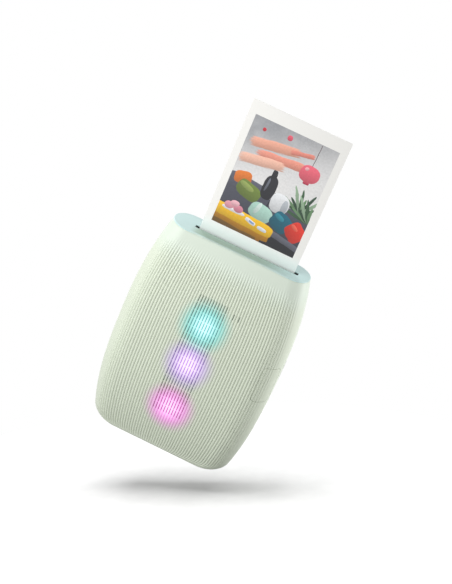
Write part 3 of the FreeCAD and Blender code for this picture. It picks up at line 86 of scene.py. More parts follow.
# Side button, which leans round the right front corner
BUTTON_LEAN = math.radians(47)
BUTTON_WIDTH, BUTTON_HEIGHT, BUTTON_Z = 11.6, 21.0, 66.0
BUTTON_GAP = 0.2
BUTTON_ROUND = 2.6

# Print in its slot
PRINT_X, PRINT_Y = 2.8, -1.0
PRINT_WIDTH, PRINT_HEIGHT, PRINT_THICK, PRINT_FOOT = 54.0, 86.0, 0.35, 114.9
PICTURE_WIDTH, PICTURE_HEIGHT, PICTURE_FOOT = 46.0, 62.0, 17.0
SLOT_LENGTH, SLOT_WIDTH, SLOT_ROUND = 58.5, 3.0, 0.5

# Film door, its hinge and its catch
DOOR_LEFT, DOOR_RIGHT, DOOR_FOOT, DOOR_TOP, DOOR_GAP = -27.8, 33.4, 9.6, 108.5, 0.3
DOOR_FRONT, BEHIND = 1.0, 30.0
HINGE_Y, HINGE_Z, HINGE_RADIUS, HINGE_BORE = 11.7025, 9.6, 2.0, 0.95
CATCH_Y, CATCH_WIDTH, CATCH_FOOT, CATCH_HEIGHT = 11.9, 15.6, 98.0, 6.0
CATCH_TRAVEL, CATCH_GAP = 2.5, 0.2
NOTCH_HALF, NOTCH_TOP = 4.2, 110.1

# Wells in the rear housing: two corners of the charging port's, and those of the screws
PORT_WELL = (22.6, 46.2, 0.65, 4.35, 65.25, 74.75)
SCREW_X, SCREW_Y, SCREW_HEIGHTS, SCREW_WELL = 37.6, 1.4, (12.5, 112.0), 1.55


# Shape of the body
def eased(low, high, at):
    """0 below low, 1 above high, and a soft step between them."""
    share = min(max((at - low) / (high - low), 0), 1)
    return share * share * (3 - 2 * share)


def foot_draw(z, radius):
    """How far a rounded foot edge draws in at a height."""
    return radius - math.sqrt(radius**2 - (radius - z) ** 2) if z < radius else 0.0


def half_sizes(z):
    """Half the width, half the depth and the corner radius of the body at a height."""
    rise = abs(2 * z / BODY_HEIGHT - 1) ** BARREL_POWER
    half_width = (BODY_WIDTH - rise * (BODY_WIDTH - TOP_WIDTH)) / 2 - foot_draw(z, FOOT_SIDE_ROUND)
    half_depth = (BODY_DEPTH - rise * (BODY_DEPTH - TOP_DEPTH)) / 2 - foot_draw(z, FOOT_FACE_ROUND)
    corner = CORNER_MIDDLE - rise * (CORNER_MIDDLE - CORNER_TOP)
    return half_width, half_depth, min(corner, half_depth - RIB_DEPTH)


def corner_point(z, inset, angle, side, back=False):
    """A point on the round of a corner: angle 0 is its front or back, a quarter turn its side."""
    half_width, half_depth, corner = half_sizes(z)
    radius = corner - inset
    x = side * (half_width - corner + radius * math.sin(angle))
    y = half_depth - corner + radius * math.cos(angle)
    return Vector((x, y if back else -y, z))


def rib_depth(z):
    """How deep the valleys between the ribs are at a height."""
    fade = eased(0, RIB_FOOT_FADE, z) * (1 - eased(*RIB_TOP_FADE, z))
    return RIB_FAINT + (RIB_DEPTH - RIB_FAINT) * fade


def rib_point(z, share, sunk):
    """A point of the ribbed front, at a share of the way from its left edge to its right."""
    half_width, half_depth, corner = half_sizes(z)
    flat = half_width - corner
    run = (2 * share - 1) * (flat + RIB_WRAP * corner)
    if abs(run) <= flat:
        return Vector((run, sunk - half_depth, z))
    return corner_point(z, sunk, (abs(run) - flat) / corner, math.copysign(1, run))


def rib_profile(step):
    """How deep a step round the ribs lies, from 0 on a crest to 1 in a full valley."""
    rib, part = divmod(step, RIB_STEPS)
    share = part / RIB_STEPS
    ends = []
    for edge in (rib, rib + 1):
        ends.append(min(1, edge / RIB_EDGE_COUNT, (RIB_COUNT - edge) / RIB_EDGE_COUNT))
    return (ends[0] + (ends[1] - ends[0]) * share) * (2 * share - 1) ** 2


def parting_points(z, rim, side, seam):
    """Two points of a casing half at its parting, where its edge is broken by a seam."""
    half_width = half_sizes(z)[0] - rim
    return [
        Vector((side * (half_width - SEAM), PARTING, z)),
        Vector((side * half_width, PARTING + seam, z)),
    ]


def front_loop(z, rim):
    """The front cover's outline at a height, and how deep each of its points lies in a valley."""
    last, steps = RIB_COUNT * RIB_STEPS, CORNER_STEPS // 2
    edges = []
    for side in (-1, 1):
        angles = [math.pi / 2 - (math.pi / 2 - RIB_WRAP) * step / steps for step in range(steps)]
        turn = [corner_point(z, rim, angle, side) for angle in angles]
        edges.append([(point, 0.0) for point in parting_points(z, rim, side, -SEAM) + turn])
    ribs = []
    for step in range(last + 1):
        valley = rib_depth(z) * rib_profile(step) if step < last else 0.0
        ribs.append((rib_point(z, step / last, valley + rim), valley / RIB_DEPTH))
    return edges[0] + ribs + edges[1][::-1]


def rear_loop(z, rim):
    """The rear housing's outline at a height."""
    edges = []
    for side in (1, -1):
        angles = [math.pi / 2 * (1 - step / CORNER_STEPS) for step in range(CORNER_STEPS + 1)]
        turn = [corner_point(z, rim, angle, side, True) for angle in angles]
        edges.append(parting_points(z, rim, side, SEAM) + turn)
    near, far = edges[0][-1], edges[1][-1]
    flat = [near.lerp(far, step / CORNER_STEPS) for step in range(1, CORNER_STEPS)]
    return edges[0] + flat + edges[1][::-1]


def whole_loop(z, inset=0.0):
    """The smooth outline of the whole body at a height, drawn in by an inset."""
    loop = []
    for side, back in ((-1, False), (1, False), (1, True), (-1, True)):
        turn = [
            corner_point(z, inset, math.pi / 2 * step / CORNER_STEPS, side, back)
            for step in range(CORNER_STEPS + 1)
        ]
        loop += turn[::-1] if back == (side > 0) else turn
    return loop[::-1]


def body_heights(z_from, z_to):
    """Heights at which the body is drawn, close together where it curves."""
    heights = {z_from, z_to}
    for radius in (FOOT_SIDE_ROUND, FOOT_FACE_ROUND):
        turns = [math.radians(90 * step / FOOT_STEPS) for step in range(FOOT_STEPS + 1)]
        heights |= {radius * (1 - math.cos(turn)) for turn in turns}
    heights |= {FOOT_SIDE_ROUND + BODY_STEP * step for step in range(1, BODY_STEPS + 1)}
    heights |= {RIB_TOP_FADE[0] + FADE_STEP * step for step in range(FADE_STEPS + 1)}
    inside = sorted(z for z in heights if z_from <= z <= z_to)
    kept = inside[:1]
    for z in inside[1:]:
        if z - kept[-1] > LEAST_STEP:
            kept.append(z)
    kept[-1] = z_to
    return kept


# Building of meshes
ROD_SIDES = 48


def lofted(loops, mesh=None):
    """A mesh through loops of points, its ends filled, which can be added to another one."""
    if mesh is None:
        mesh = bmesh.new()
    rings = [[mesh.verts.new(point * MM) for point in loop] for loop in loops]
    for low, high in zip(rings, rings[1:]):
        for index in range(len(low)):
            mesh.faces.new((low[index - 1], low[index], high[index], high[index - 1]))
    mesh.faces.new(rings[0][::-1])
    mesh.faces.new(rings[-1])
    bmesh.ops.recalc_face_normals(mesh, faces=mesh.faces)
    return mesh


def as_object(name, mesh):
    """A named object in the scene from a mesh under construction."""
    data = bpy.data.meshes.new(name)
    mesh.to_mesh(data)
    mesh.free()
    piece = bpy.data.objects.new(name, data)
    bpy.context.scene.collection.objects.link(piece)
    return piece


def settled(piece):
    """Applies a piece's modifiers to its mesh."""
    bpy.context.view_layer.update()
    depsgraph = bpy.context.evaluated_depsgraph_get()
    mesh = bpy.data.meshes.new_from_object(piece.evaluated_get(depsgraph))
    piece.modifiers.clear()
    old = piece.data
    piece.data = mesh
    bpy.data.meshes.remove(old)


def carve(piece, tools, operation="DIFFERENCE"):
    """Cuts, joins or trims a piece by tool meshes, which are used up."""
    for tool in tools:
        cutter = as_object("tool", tool)
        change = piece.modifiers.new("carve", "BOOLEAN")
        change.object = cutter
        change.operation = operation
        change.solver = "MANIFOLD"
        settled(piece)
        bpy.data.objects.remove(cutter)
    return piece


def smooth(piece, degrees=32):
    """Smooth shading, with edges sharper than an angle left crisp."""
    piece.data.shade_smooth()
    piece.data.set_sharp_from_angle(angle=math.radians(degrees))
    return piece


def block(x_from, x_to, y_from, y_to, z_from, z_to):
    """An upright block between two corners, as a tool."""
    corners = [(x_from, y_from), (x_to, y_from), (x_to, y_to), (x_from, y_to)]
    return lofted([[Vector((x, y, z)) for x, y in corners] for z in (z_from, z_to)])


def ring(middle, radius, across, along, sides):
    """Points round a circle that lies in two directions."""
    points = []
    for step in range(sides):
        angle = 2 * math.pi * step / sides
        points.append(middle + radius * (across * math.cos(angle) + along * math.sin(angle)))
    return points


def rod(radius, start, end):
    """A round bar from one point to another, as a tool."""
    start, end = Vector(start), Vector(end)
    turn = Vector((0, 0, 1)).rotation_difference(end - start).to_matrix()
    return lofted([ring(place, radius, turn.col[0], turn.col[1], ROD_SIDES) for place in (start, end)])


def rounded_rectangle(half_width, half_height, radius, steps=8):
    """The outline of a rectangle with round corners, as pairs."""
    outline = []
    for turn, (side, up) in enumerate(((1, 1), (-1, 1), (-1, -1), (1, -1))):
        for step in range(steps + 1):
            angle = math.pi / 2 * (turn + step / steps)
            u = side * (half_width - radius) + radius * math.cos(angle)
            v = up * (half_height - radius) + radius * math.sin(angle)
            outline.append((u, v))
    return outline


def button_prism(grown):
    """The space of the side button, leaning round the corner, grown by a gap."""
    half_width, half_depth, corner = half_sizes(BUTTON_Z)
    middle = Vector((half_width - corner, corner - half_depth, BUTTON_Z))
    across = Vector((math.cos(BUTTON_LEAN), math.sin(BUTTON_LEAN), 0))
    outward = Vector((math.sin(BUTTON_LEAN), -math.cos(BUTTON_LEAN), 0))
    outline = rounded_rectangle(
        BUTTON_WIDTH / 2 + grown, BUTTON_HEIGHT / 2 + grown, BUTTON_ROUND + grown
    )
    loops = []
    for out in (corner / 2, corner + 2):
        loops.append([middle + outward * out + across * u + Vector((0, 0, v)) for u, v in outline])
    return lofted(loops)


# Node materials
def sockets(group, direction, rows):
    """Named sockets of a node group, whose defaults also tell their kinds."""
    for name, default in rows.items():
        kind = "Float" if isinstance(default, float) else {3: "Vector", 4: "Color"}[len(default)]
        socket = group.interface.new_socket(name, in_out=direction, socket_type="NodeSocket" + kind)
        socket.default_value = default


class Board:
    """A node tree with short ways to add nodes and join them."""

    def __init__(self, tree):
        self.tree = tree

    def join(self, node, rows):
        for name, source in rows.items():
            if isinstance(source, bpy.types.NodeSocket):
                self.tree.links.new(source, node.inputs[name])
            else:
                node.inputs[name].default_value = source
        return node

    def add(self, kind, inputs=None, **settings):
        node = self.tree.nodes.new("ShaderNode" + kind)
        for name, setting in settings.items():
            setattr(node, name, setting)
        return self.join(node, inputs or {})

    def group(self, tree, inputs):
        return self.add("Group", inputs, node_tree=tree).outputs

    def math(self, operation, *sources):
        return self.add("Math", dict(enumerate(sources)), operation=operation).outputs[0]

    def plus(self, first, second):
        return self.math("ADD", first, second)

    def less(self, first, second):
        return self.math("SUBTRACT", first, second)

    def times(self, first, second):
        return self.math("MULTIPLY", first, second)

    def range(self, source, low, high, to_low=0.0, to_high=1.0, kind="SMOOTHSTEP"):
        rows = {"Value": source, "From Min": low, "From Max": high, "To Min": to_low, "To Max": to_high}
        return self.add("MapRange", rows, interpolation_type=kind).outputs["Result"]

    def mix(self, share, first, second, blend="MIX"):
        rows = {0: share, 6: first, 7: second}
        return self.add("Mix", rows, data_type="RGBA", blend_type=blend).outputs[2]

    def toned(self, colour, tone):
        grey = self.add("CombineColor", {"Red": tone, "Green": tone, "Blue": tone}).outputs[0]
        return self.mix(1.0, colour, grey, "MULTIPLY")

    def noise(self, **rows):
        return self.add("TexNoise", rows).outputs["Fac"]

    def place(self):
        return self.add("TexCoord").outputs["Object"]

    def split(self, vector):
        return self.add("SeparateXYZ", {"Vector": vector}).outputs


def node_group(name, inputs, outputs):
    """The board of a new node group, with the sockets it is given and those it gives out."""
    tree = bpy.data.node_groups.new(name, "ShaderNodeTree")
    sockets(tree, "INPUT", inputs)
    sockets(tree, "OUTPUT", outputs)
    given, out = tree.nodes.new("NodeGroupInput"), tree.nodes.new("NodeGroupOutput")
    return Board(tree), given.outputs, out


def linear(red, green, blue):
    """A screen colour, each part from 0 to 255, as the shader needs it."""
    parts = []
    for part in (red, green, blue):
        part /= 255
        parts.append(part / 12.92 if part <= 0.04045 else ((part + 0.055) / 1.055) ** 2.4)
    return (*parts, 1.0)


WHITE = (1, 1, 1, 1)
SURFACE = {"Colour": WHITE, "Roughness": 0.5, "Height": 0.0}


def make_grain():
    """Fine grain with a slow drift of tone, for plastic, rubber, paper and paint."""
    inputs = {"Colour": WHITE, "Roughness": 0.5, "Drift": 0.04, "Grain Size": 0.0004}
    board, given, out = node_group("fine_grain", inputs, SURFACE)
    place = board.place()
    scale = board.math("DIVIDE", 1.0, given["Grain Size"])
    fine = board.noise(Vector=place, Scale=scale, Detail=3.0, Roughness=0.6)
    slow = board.noise(Vector=place, Scale=38.0, Detail=2.0)
    uneven = board.plus(board.times(board.less(fine, 0.5), 0.5), board.less(slow, 0.5))
    tone = board.math("MULTIPLY_ADD", uneven, given["Drift"], 1.0)
    board.join(out, {
        "Colour": board.toned(given["Colour"], tone),
        "Roughness": board.math("MULTIPLY_ADD", uneven, 0.12, given["Roughness"]),
        "Height": fine,
    })
    return board.tree


def make_brushing():
    """Long fine lines along X, for drawn and brushed metal."""
    inputs = {"Colour": WHITE, "Roughness": 0.3, "Scale": 900.0}
    board, given, out = node_group("brushed_lines", inputs, SURFACE)
    stretched = board.add("Mapping", {"Vector": board.place(), "Scale": (0.03, 1.0, 1.0)}).outputs[0]
    lines = board.noise(Vector=stretched, Scale=given["Scale"], Detail=4.0)
    shade = board.range(lines, 0.3, 0.7, 0.84, 1.06, "LINEAR")
    offset = board.range(lines, 0.3, 0.7, -0.08, 0.1, "LINEAR")
    board.join(out, {
        "Colour": board.toned(given["Colour"], shade),
        "Roughness": board.plus(offset, given["Roughness"]),
        "Height": lines,
    })
    return board.tree


PLACES = ("Lower", "Middle", "Upper")
HALO_RADIUS, HALO_FULL, CORE_RADIUS, CORE_FULL = 16.6, 3.32, 11.0, 1.0
LIGHT_FRONT, LIGHT_SQUASH, LIGHT_RIPPLE = (-6.0, -9.0), 0.94, 4.0


def make_glow():
    """Painted round soft glow of three colours on the front, brighter in the middle of each."""
    inputs = {place + part: WHITE for place in PLACES for part in (" Halo", " Core")}
    board, given, out = node_group("three_lights", inputs, {"Glow": WHITE, "Halo": 0.0})
    place = board.split(board.place())
    ripple = board.noise(Scale=260.0, Detail=2.0)
    across = board.less(place["X"], LIGHT_X * MM)
    in_front = board.range(place["Y"], *[y * MM for y in LIGHT_FRONT])
    glow, halo_sum = (0, 0, 0, 1), 0.0
    for name, height in zip(PLACES, LIGHT_HEIGHTS):
        up = board.times(board.less(place["Z"], height * MM), LIGHT_SQUASH)
        distance = board.math("SQRT", board.plus(board.times(across, across), board.times(up, up)))
        uneven = board.math("MULTIPLY_ADD", board.less(ripple, 0.5), LIGHT_RIPPLE * MM, distance)
        halo = board.times(board.range(uneven, HALO_RADIUS * MM, HALO_FULL * MM), in_front)
        core = board.range(uneven, CORE_RADIUS * MM, CORE_FULL * MM)
        glow = board.mix(halo, glow, board.mix(core, given[name + " Halo"], given[name + " Core"]))
        halo_sum = board.math("MAXIMUM", halo_sum, halo)
    board.join(out, {"Glow": glow, "Halo": halo_sum})
    return board.tree


def make_patch():
    """A soft edged shape laid over a colour, lighter at its top, for the printed picture."""
    inputs = {"Under": WHITE, "Colour": WHITE, "Turn": 0.0, "Squareness": 2.0, "Fray": 0.0}
    inputs |= {"Place": (0, 0, 0), "Middle": (0, 0, 0), "Size": (1, 1, 1)}
    board, given, out = node_group("painted_patch", inputs, {"Colour": WHITE})
    moved = board.add("VectorMath", {0: given["Place"], 1: given["Middle"]}, operation="SUBTRACT")
    turned = board.add(
        "VectorRotate", {"Vector": moved.outputs[0], "Angle": given["Turn"]}, rotation_type="Z_AXIS"
    ).outputs[0]
    sized = board.add("VectorMath", {0: turned, 1: given["Size"]}, operation="DIVIDE")
    parts = board.split(sized.outputs[0])
    powers = []
    for letter in "XY":
        powers.append(board.math("POWER", board.math("ABSOLUTE", parts[letter]), given["Squareness"]))
    long_way = board.add("Mapping", {"Vector": turned, "Scale": (0.1, 1.7, 1.0)}).outputs[0]
    hairs = board.noise(Vector=long_way, Scale=1.0, Detail=3.0)
    uneven = board.times(board.less(hairs, 0.42), given["Fray"])
    reach = board.plus(board.plus(*powers), uneven)
    soft = board.math("MULTIPLY_ADD", given["Fray"], 0.12, 0.08)
    mask = board.range(reach, board.plus(1.0, soft), board.less(1.0, soft))
    lit = board.toned(given["Colour"], board.range(parts["Y"], -1.0, 1.0, 0.6, 1.12, "LINEAR"))
    board.join(out, {"Colour": board.mix(mask, given["Under"], lit)})
    return board.tree


finishes = {}


def new_material(name):
    """An empty node material, kept by its name among the finishes: its board and its shader."""
    material = finishes[name] = bpy.data.materials.new(name)
    material.use_nodes = True
    # Glowing faces sampled as lamps would leave speckle on the ribs
    material.cycles.emission_sampling = "NONE"
    return Board(material.node_tree), material.node_tree.nodes["Principled BSDF"]


def bumped(board, shader, height, depth, distance=0.0002):
    """Gives a shader the relief of a height."""
    bump = board.add("Bump", {"Height": height, "Strength": depth, "Distance": distance})
    board.join(shader, {"Normal": bump.outputs[0]})


grain = make_grain()
brushing = make_brushing()
glow_group = make_glow()
patch = make_patch()


def grained(board, shader, colour, roughness, drift=0.04, size=0.0004, depth=0.0):
    """Gives a shader the roughness and relief of grain, and returns the grained colour."""
    rows = {"Colour": colour, "Roughness": roughness, "Drift": drift, "Grain Size": size}
    detail = board.group(grain, rows)
    board.join(shader, {"Roughness": detail["Roughness"]})
    if depth:
        bumped(board, shader, detail["Height"], depth)
    return detail["Colour"]


def plastic(name, colour, roughness, drift, size=0.0004, depth=0.15, coat=0.0, through=0.0):
    """Moulded plastic, rubber, paper or paint with a fine grain."""
    board, shader = new_material(name)
    board.join(shader, {
        "Base Color": grained(board, shader, linear(*colour), roughness, drift, size, depth),
        "Coat Weight": coat,
        "Coat Roughness": 0.2,
        "Transmission Weight": through,
    })


def metal(name, colour, roughness, scale=900.0):
    """Drawn or brushed metal with fine lines."""
    board, shader = new_material(name)
    detail = board.group(brushing, {"Colour": linear(*colour), "Roughness": roughness, "Scale": scale})
    colour, roughness = detail["Colour"], detail["Roughness"]
    board.join(shader, {"Base Color": colour, "Roughness": roughness, "Metallic": 1.0})
    bumped(board, shader, detail["Height"], 0.2, 0.00003)


def soft_lights(board, colours):
    """The glow of the three lights, from the colours of the halo and of the core of each."""
    rows = {}
    for place, (halo, core) in colours.items():
        rows[place + " Halo"], rows[place + " Core"] = linear(*halo), linear(*core)
    return board.group(glow_group, rows)


SAGE = (213, 221, 203)
COOL_SAGE = (217, 228, 214)
PALE = (226, 232, 222)
MINT = (198, 226, 224)
UNLIT = (0.02, 0.02, 0.02, 1)
# Heights where the shell turns cooler at its top, and, above the print's foot, where the painted mint
# reflection fades out
SHELL_FADE, PAPER_REFLECTION_FADE = (104, 119), (13, 20)


def sage_shell():
    """Soft green plastic of the ribbed front, with painted shade between the ribs and a painted glow of the
    lights behind it.
    """
    board, shader = new_material("sage_shell")
    top = board.range(board.split(board.place())["Z"], *[z * MM for z in SHELL_FADE])
    colour = board.mix(top, linear(*SAGE), linear(*COOL_SAGE))
    colour = grained(board, shader, colour, 0.48, 0.05, 0.00035, 0.02)
    groove = board.add("Attribute", attribute_name="groove").outputs["Fac"]
    # Painted shade in the valleys between the ribs
    shaded = board.mix(board.times(groove, 0.08), colour, linear(146, 160, 136))
    # Painted glow of the three lights behind the front: its base colour is darkened under each halo, and
    # the glow is dimmer in the valleys
    lights = soft_lights(board, {
        "Lower": ((250, 118, 238), (255, 214, 252)),
        "Middle": ((208, 170, 246), (250, 232, 255)),
        "Upper": ((62, 222, 220), (210, 254, 255)),
    })
    board.join(shader, {
        "Base Color": board.mix(board.times(lights["Halo"], 0.8), shaded, UNLIT),
        "Emission Color": board.mix(board.times(groove, 0.9), lights["Glow"], lights["Glow"], "MULTIPLY"),
        "Emission Strength": 0.95,
    })


def print_paper():
    """White border of the print, with a painted mint reflection of the lid at its foot."""
    board, shader = new_material("print_paper")
    fade = [(PRINT_FOOT + rise) * MM for rise in PAPER_REFLECTION_FADE]
    above = board.range(board.split(board.place())["Z"], *fade)
    # Painted mint reflection of the lid on the print's foot, fading out above it
    colour = board.mix(above, linear(241, 250, 247), linear(245, 244, 240))
    board.join(shader, {
        "Base Color": grained(board, shader, colour, 0.36, 0.02, 0.0003, 0.03),
        "Coat Weight": 0.15,
        "Coat Roughness": 0.2,
    })


# Fades of the painted shadow and the painted rim highlight on the lid's lip, from the print: its left,
# right, rim, front and back
LIP_FADES = (
    ("X", PRINT_X, -31, -26),
    ("X", PRINT_X, 31, 7),
    ("Y", PRINT_Y, -8.4, -9.2),
    ("Y", PRINT_Y, -8.8, -7.0),
    ("Y", PRINT_Y, 0.2, -0.2),
)


def mint_cap():
    """Mint plastic of the lid, with a painted shadow of the print on the lip in front of it and a painted
    highlight on the lid's rim.
    """
    board, shader = new_material("mint_cap")
    colour = grained(board, shader, linear(*MINT), 0.4, 0.05, 0.00035, 0.03)
    place = board.split(board.place())
    fades = []
    for letter, middle, start, stop in LIP_FADES:
        fades.append(board.range(place[letter], (middle + start) * MM, (middle + stop) * MM))
    left, right, rim, front, back = fades
    across = board.times(left, right)
    # Painted highlight along the lid's front rim
    light = board.times(board.times(rim, across), 0.7)
    colour = board.mix(light, colour, linear(*COOL_SAGE))
    # Painted shadow of the print on the lip in front of it
    shade = board.times(board.times(board.times(front, back), across), 0.85)
    board.join(shader, {"Base Color": board.mix(shade, colour, linear(157, 182, 164))})


def slot_lens():
    """Smoky lens of the light slots, with a painted glow in the colour of the light behind it."""
    board, shader = new_material("slot_lens")
    colour = grained(board, shader, linear(96, 112, 92), 0.3, 0.1, 0.0003)
    # Painted glow of the light behind each lens; its base colour is darkened under the halo
    lights = soft_lights(board, {
        "Lower": ((160, 16, 124), (214, 40, 186)),
        "Middle": ((112, 52, 180), (196, 128, 242)),
        "Upper": ((16, 112, 112), (74, 194, 200)),
    })
    board.join(shader, {
        "Base Color": board.mix(lights["Halo"], colour, UNLIT),
        "Emission Color": lights["Glow"],
        "Emission Strength": 0.9,
    })


# The printed picture: a made up corner of a room with a sofa, pots, leaves, a lantern and a table.
# Each row is a colour, the middle and half sizes in millimetres from the picture's lower left
# corner, a turn and a squareness. The brush strokes on the wall are frayed.
STROKE_FRAY = 2.6
STROKE_PATCHES = [
    ((243, 176, 152), (15.5, 50.5), (13.5, 2.7), -9, 6.0),
    ((245, 160, 140), (21.5, 45.3), (14.0, 2.3), -5, 6.0),
    ((247, 194, 172), (12.0, 40.4), (12.5, 2.7), -10, 6.0),
    ((240, 148, 132), (29.5, 52.8), (6.5, 1.3), -12, 6.0),
]
WALL_PATCHES = [
    ((208, 44, 60), (7.0, 56.5), (1.0, 1.0), 0, 2.0),
    ((236, 96, 116), (20.5, 58.0), (1.5, 1.5), 0, 2.0),
    ((242, 108, 126), (36.5, 45.0), (5.2, 4.8), 0, 2.2),
    ((255, 184, 190), (34.4, 47.2), (1.2, 0.9), -30, 2.0),
    ((196, 70, 92), (36.5, 39.8), (1.6, 0.7), 0, 4.0),
    ((84, 60, 66), (36.5, 55.5), (0.16, 6.0), 0, 4.0),
]
SOFA_PATCHES = [
    ((70, 72, 84), (23.0, 14.0), (27.0, 9.5), 0, 8.0),
    ((88, 90, 103), (9.0, 25.2), (10.5, 4.6), 4, 4.0),
    ((80, 82, 95), (36.0, 19.5), (11.0, 4.4), -3, 4.0),
    ((40, 42, 52), (23.0, 17.5), (0.5, 7.0), 6, 4.0),
]
ROOM_PATCHES = [
    ((226, 124, 48), (6.6, 28.6), (4.6, 3.4), -12, 3.2),
    ((110, 130, 56), (11.6, 23.2), (6.6, 4.4), 16, 3.4),
    ((150, 168, 90), (10.0, 25.0), (4.2, 1.5), 16, 2.4),
    ((30, 32, 40), (20.6, 29.2), (3.5, 6.8), 0, 2.6),
    ((30, 32, 40), (20.6, 37.0), (1.4, 2.4), 0, 4.0),
    ((104, 108, 120), (19.0, 30.4), (0.55, 3.8), 4, 2.0),
    ((176, 214, 200), (21.5, 15.0), (6.2, 4.6), 12, 2.8),
    ((214, 234, 226), (19.6, 16.8), (1.2, 3.4), 14, 2.0),
    ((236, 238, 240), (28.6, 23.8), (5.0, 5.4), 0, 2.8),
    ((184, 190, 196), (31.6, 22.8), (1.5, 4.2), 0, 2.2),
    ((18, 98, 118), (33.0, 14.8), (5.4, 5.0), 24, 4.0),
    ((48, 140, 158), (31.6, 17.2), (2.8, 1.4), 24, 2.4),
    ((226, 58, 44), (41.8, 13.0), (5.0, 5.0), 40, 4.0),
    ((246, 104, 84), (40.6, 15.4), (2.2, 1.0), 40, 2.2),
    ((24, 26, 33), (36.0, 2.0), (13.0, 5.0), 4, 8.0),
    ((98, 100, 112), (38.5, 6.2), (8.8, 1.6), 10, 6.0),
    ((110, 78, 22), (10.0, 1.2), (15.0, 2.6), 3, 8.0),
    ((152, 100, 14), (25.5, 1.0), (1.2, 3.0), 0, 6.0),
    ((186, 128, 14), (13.0, 4.6), (17.6, 2.7), 3, 8.0),
    ((246, 194, 36), (13.0, 8.0), (18.4, 3.4), 3, 5.0),
    ((240, 240, 242), (8.4, 10.0), (6.2, 1.0), 2, 3.0),
    ((232, 160, 174), (5.4, 11.9), (2.5, 1.9), 0, 2.2),
    ((220, 138, 156), (10.4, 11.5), (2.6, 1.9), 0, 2.2),
    ((244, 186, 196), (7.8, 13.6), (2.2, 1.6), 0, 2.2),
    ((236, 238, 244), (18.6, 8.2), (3.0, 1.1), 14, 5.0),
    ((140, 168, 212), (19.4, 8.2), (1.6, 0.5), 14, 4.0),
    ((228, 234, 240), (25.6, 7.0), (2.7, 1.0), 6, 3.0),
]


# Two bunches of leaves beside the sofa: the foot, the first and the last lean, and the count of each
LEAF_BUNCHES = ((39.5, 23.0, -72, 52, 9), (45.5, 20.0, -80, -4, 6))
LEAF_GREENS = ((58, 92, 62), (104, 140, 100), (40, 70, 50), (150, 178, 148))
LEAF_LENGTH, LEAF_HALF = 16.0, 0.8


def leaf_patches():
    """Long thin leaves that fan out from the foot of each bunch."""
    rows = []
    for foot_x, foot_y, first, last, count in LEAF_BUNCHES:
        for step in range(count):
            lean = first + (last - first) * step / (count - 1)
            turn = math.radians(lean)
            half = LEAF_LENGTH * (0.78 + 0.22 * math.cos(1.9 * step)) / 2
            middle = (foot_x + math.sin(turn) * half, foot_y + math.cos(turn) * half)
            rows.append((LEAF_GREENS[step % 4], middle, (LEAF_HALF, half), lean, 2.0))
    return rows


def painted(board, colour, place, rows, fray=0.0):
    """Lays patches over a colour, one after the other."""
    for tint, middle, size, turn, squareness in rows:
        inputs = {
            "Under": colour,
            "Place": place,
            "Colour": linear(*tint),
            "Middle": (*middle, 0),
            "Size": (*size, 1),
            "Turn": math.radians(turn),
            "Squareness": squareness,
            "Fray": fray,
        }
        colour = board.group(patch, inputs)["Colour"]
    return colour


def printed_picture():
    """Glossy picture layer of the print."""
    board, shader = new_material("printed_picture")
    split = board.split(board.place())
    left = (PRINT_X - PICTURE_WIDTH / 2) * MM
    foot = (PRINT_FOOT + PICTURE_FOOT) * MM
    across = board.range(split["X"], left, left + PICTURE_WIDTH * MM, 0.0, PICTURE_WIDTH, "LINEAR")
    up = board.range(split["Z"], foot, foot + PICTURE_HEIGHT * MM, 0.0, PICTURE_HEIGHT, "LINEAR")
    flat = board.add("CombineXYZ", {"X": across, "Y": up}).outputs[0]
    cloud = board.noise(Vector=flat, Scale=0.11, Detail=5.0)
    wobble = board.times(board.less(cloud, 0.5), 1.8)
    shift = board.add("CombineXYZ", {"X": wobble, "Y": wobble}).outputs[0]
    drift = board.add("VectorMath", {0: flat, 1: shift}, operation="ADD").outputs[0]
    depth = board.math("MULTIPLY_ADD", across, -0.4, up)
    wall = board.mix(board.range(depth, 22.0, 60.0), linear(232, 231, 230), linear(152, 154, 158))
    wall = board.mix(board.range(cloud, 0.4, 0.7, 0.0, 0.25), wall, linear(222, 222, 224))
    colour = painted(board, wall, drift, STROKE_PATCHES, STROKE_FRAY)
    colour = painted(board, colour, drift, WALL_PATCHES + SOFA_PATCHES + leaf_patches() + ROOM_PATCHES)
    mottle = board.noise(Vector=flat, Scale=0.9, Detail=4.0)
    grained(board, shader, WHITE, 0.3, size=0.0006, depth=0.05)
    board.join(shader, {
        "Base Color": board.toned(colour, board.range(mottle, 0.3, 0.7, 0.93, 1.06, "LINEAR")),
        "Coat Weight": 0.25,
        "Coat Roughness": 0.12,
    })


def circuit_board():
    """Green board with lighter tracks and small pads."""
    board, shader = new_material("circuit_board")
    upright = board.add("Mapping", {"Vector": board.place(), "Rotation": (math.pi / 2, 0, 0)}).outputs[0]
    tracks = board.add("TexBrick", {
        "Vector": upright,
        "Color1": linear(22, 92, 64),
        "Color2": linear(26, 104, 72),
        "Mortar": linear(70, 150, 104),
        "Scale": 120.0,
        "Mortar Size": 0.06,
    }).outputs
    pads = board.add("TexVoronoi", {"Vector": upright, "Scale": 520.0}).outputs["Distance"]
    spots = board.range(pads, 0.16, 0.1)
    board.join(shader, {
        "Base Color": board.mix(spots, tracks["Color"], linear(214, 186, 110)),
        "Roughness": board.range(spots, 0.0, 1.0, 0.42, 0.28),
    })
    bumped(board, shader, tracks["Fac"], 0.3, 0.00004)


def light_face(name, colour):
    """Face of a light, which glows in its own colour."""
    board, shader = new_material(name)
    colour = grained(board, shader, linear(*colour), 0.3)
    board.join(shader, {"Base Color": colour, "Emission Color": colour, "Emission Strength": 1.0})


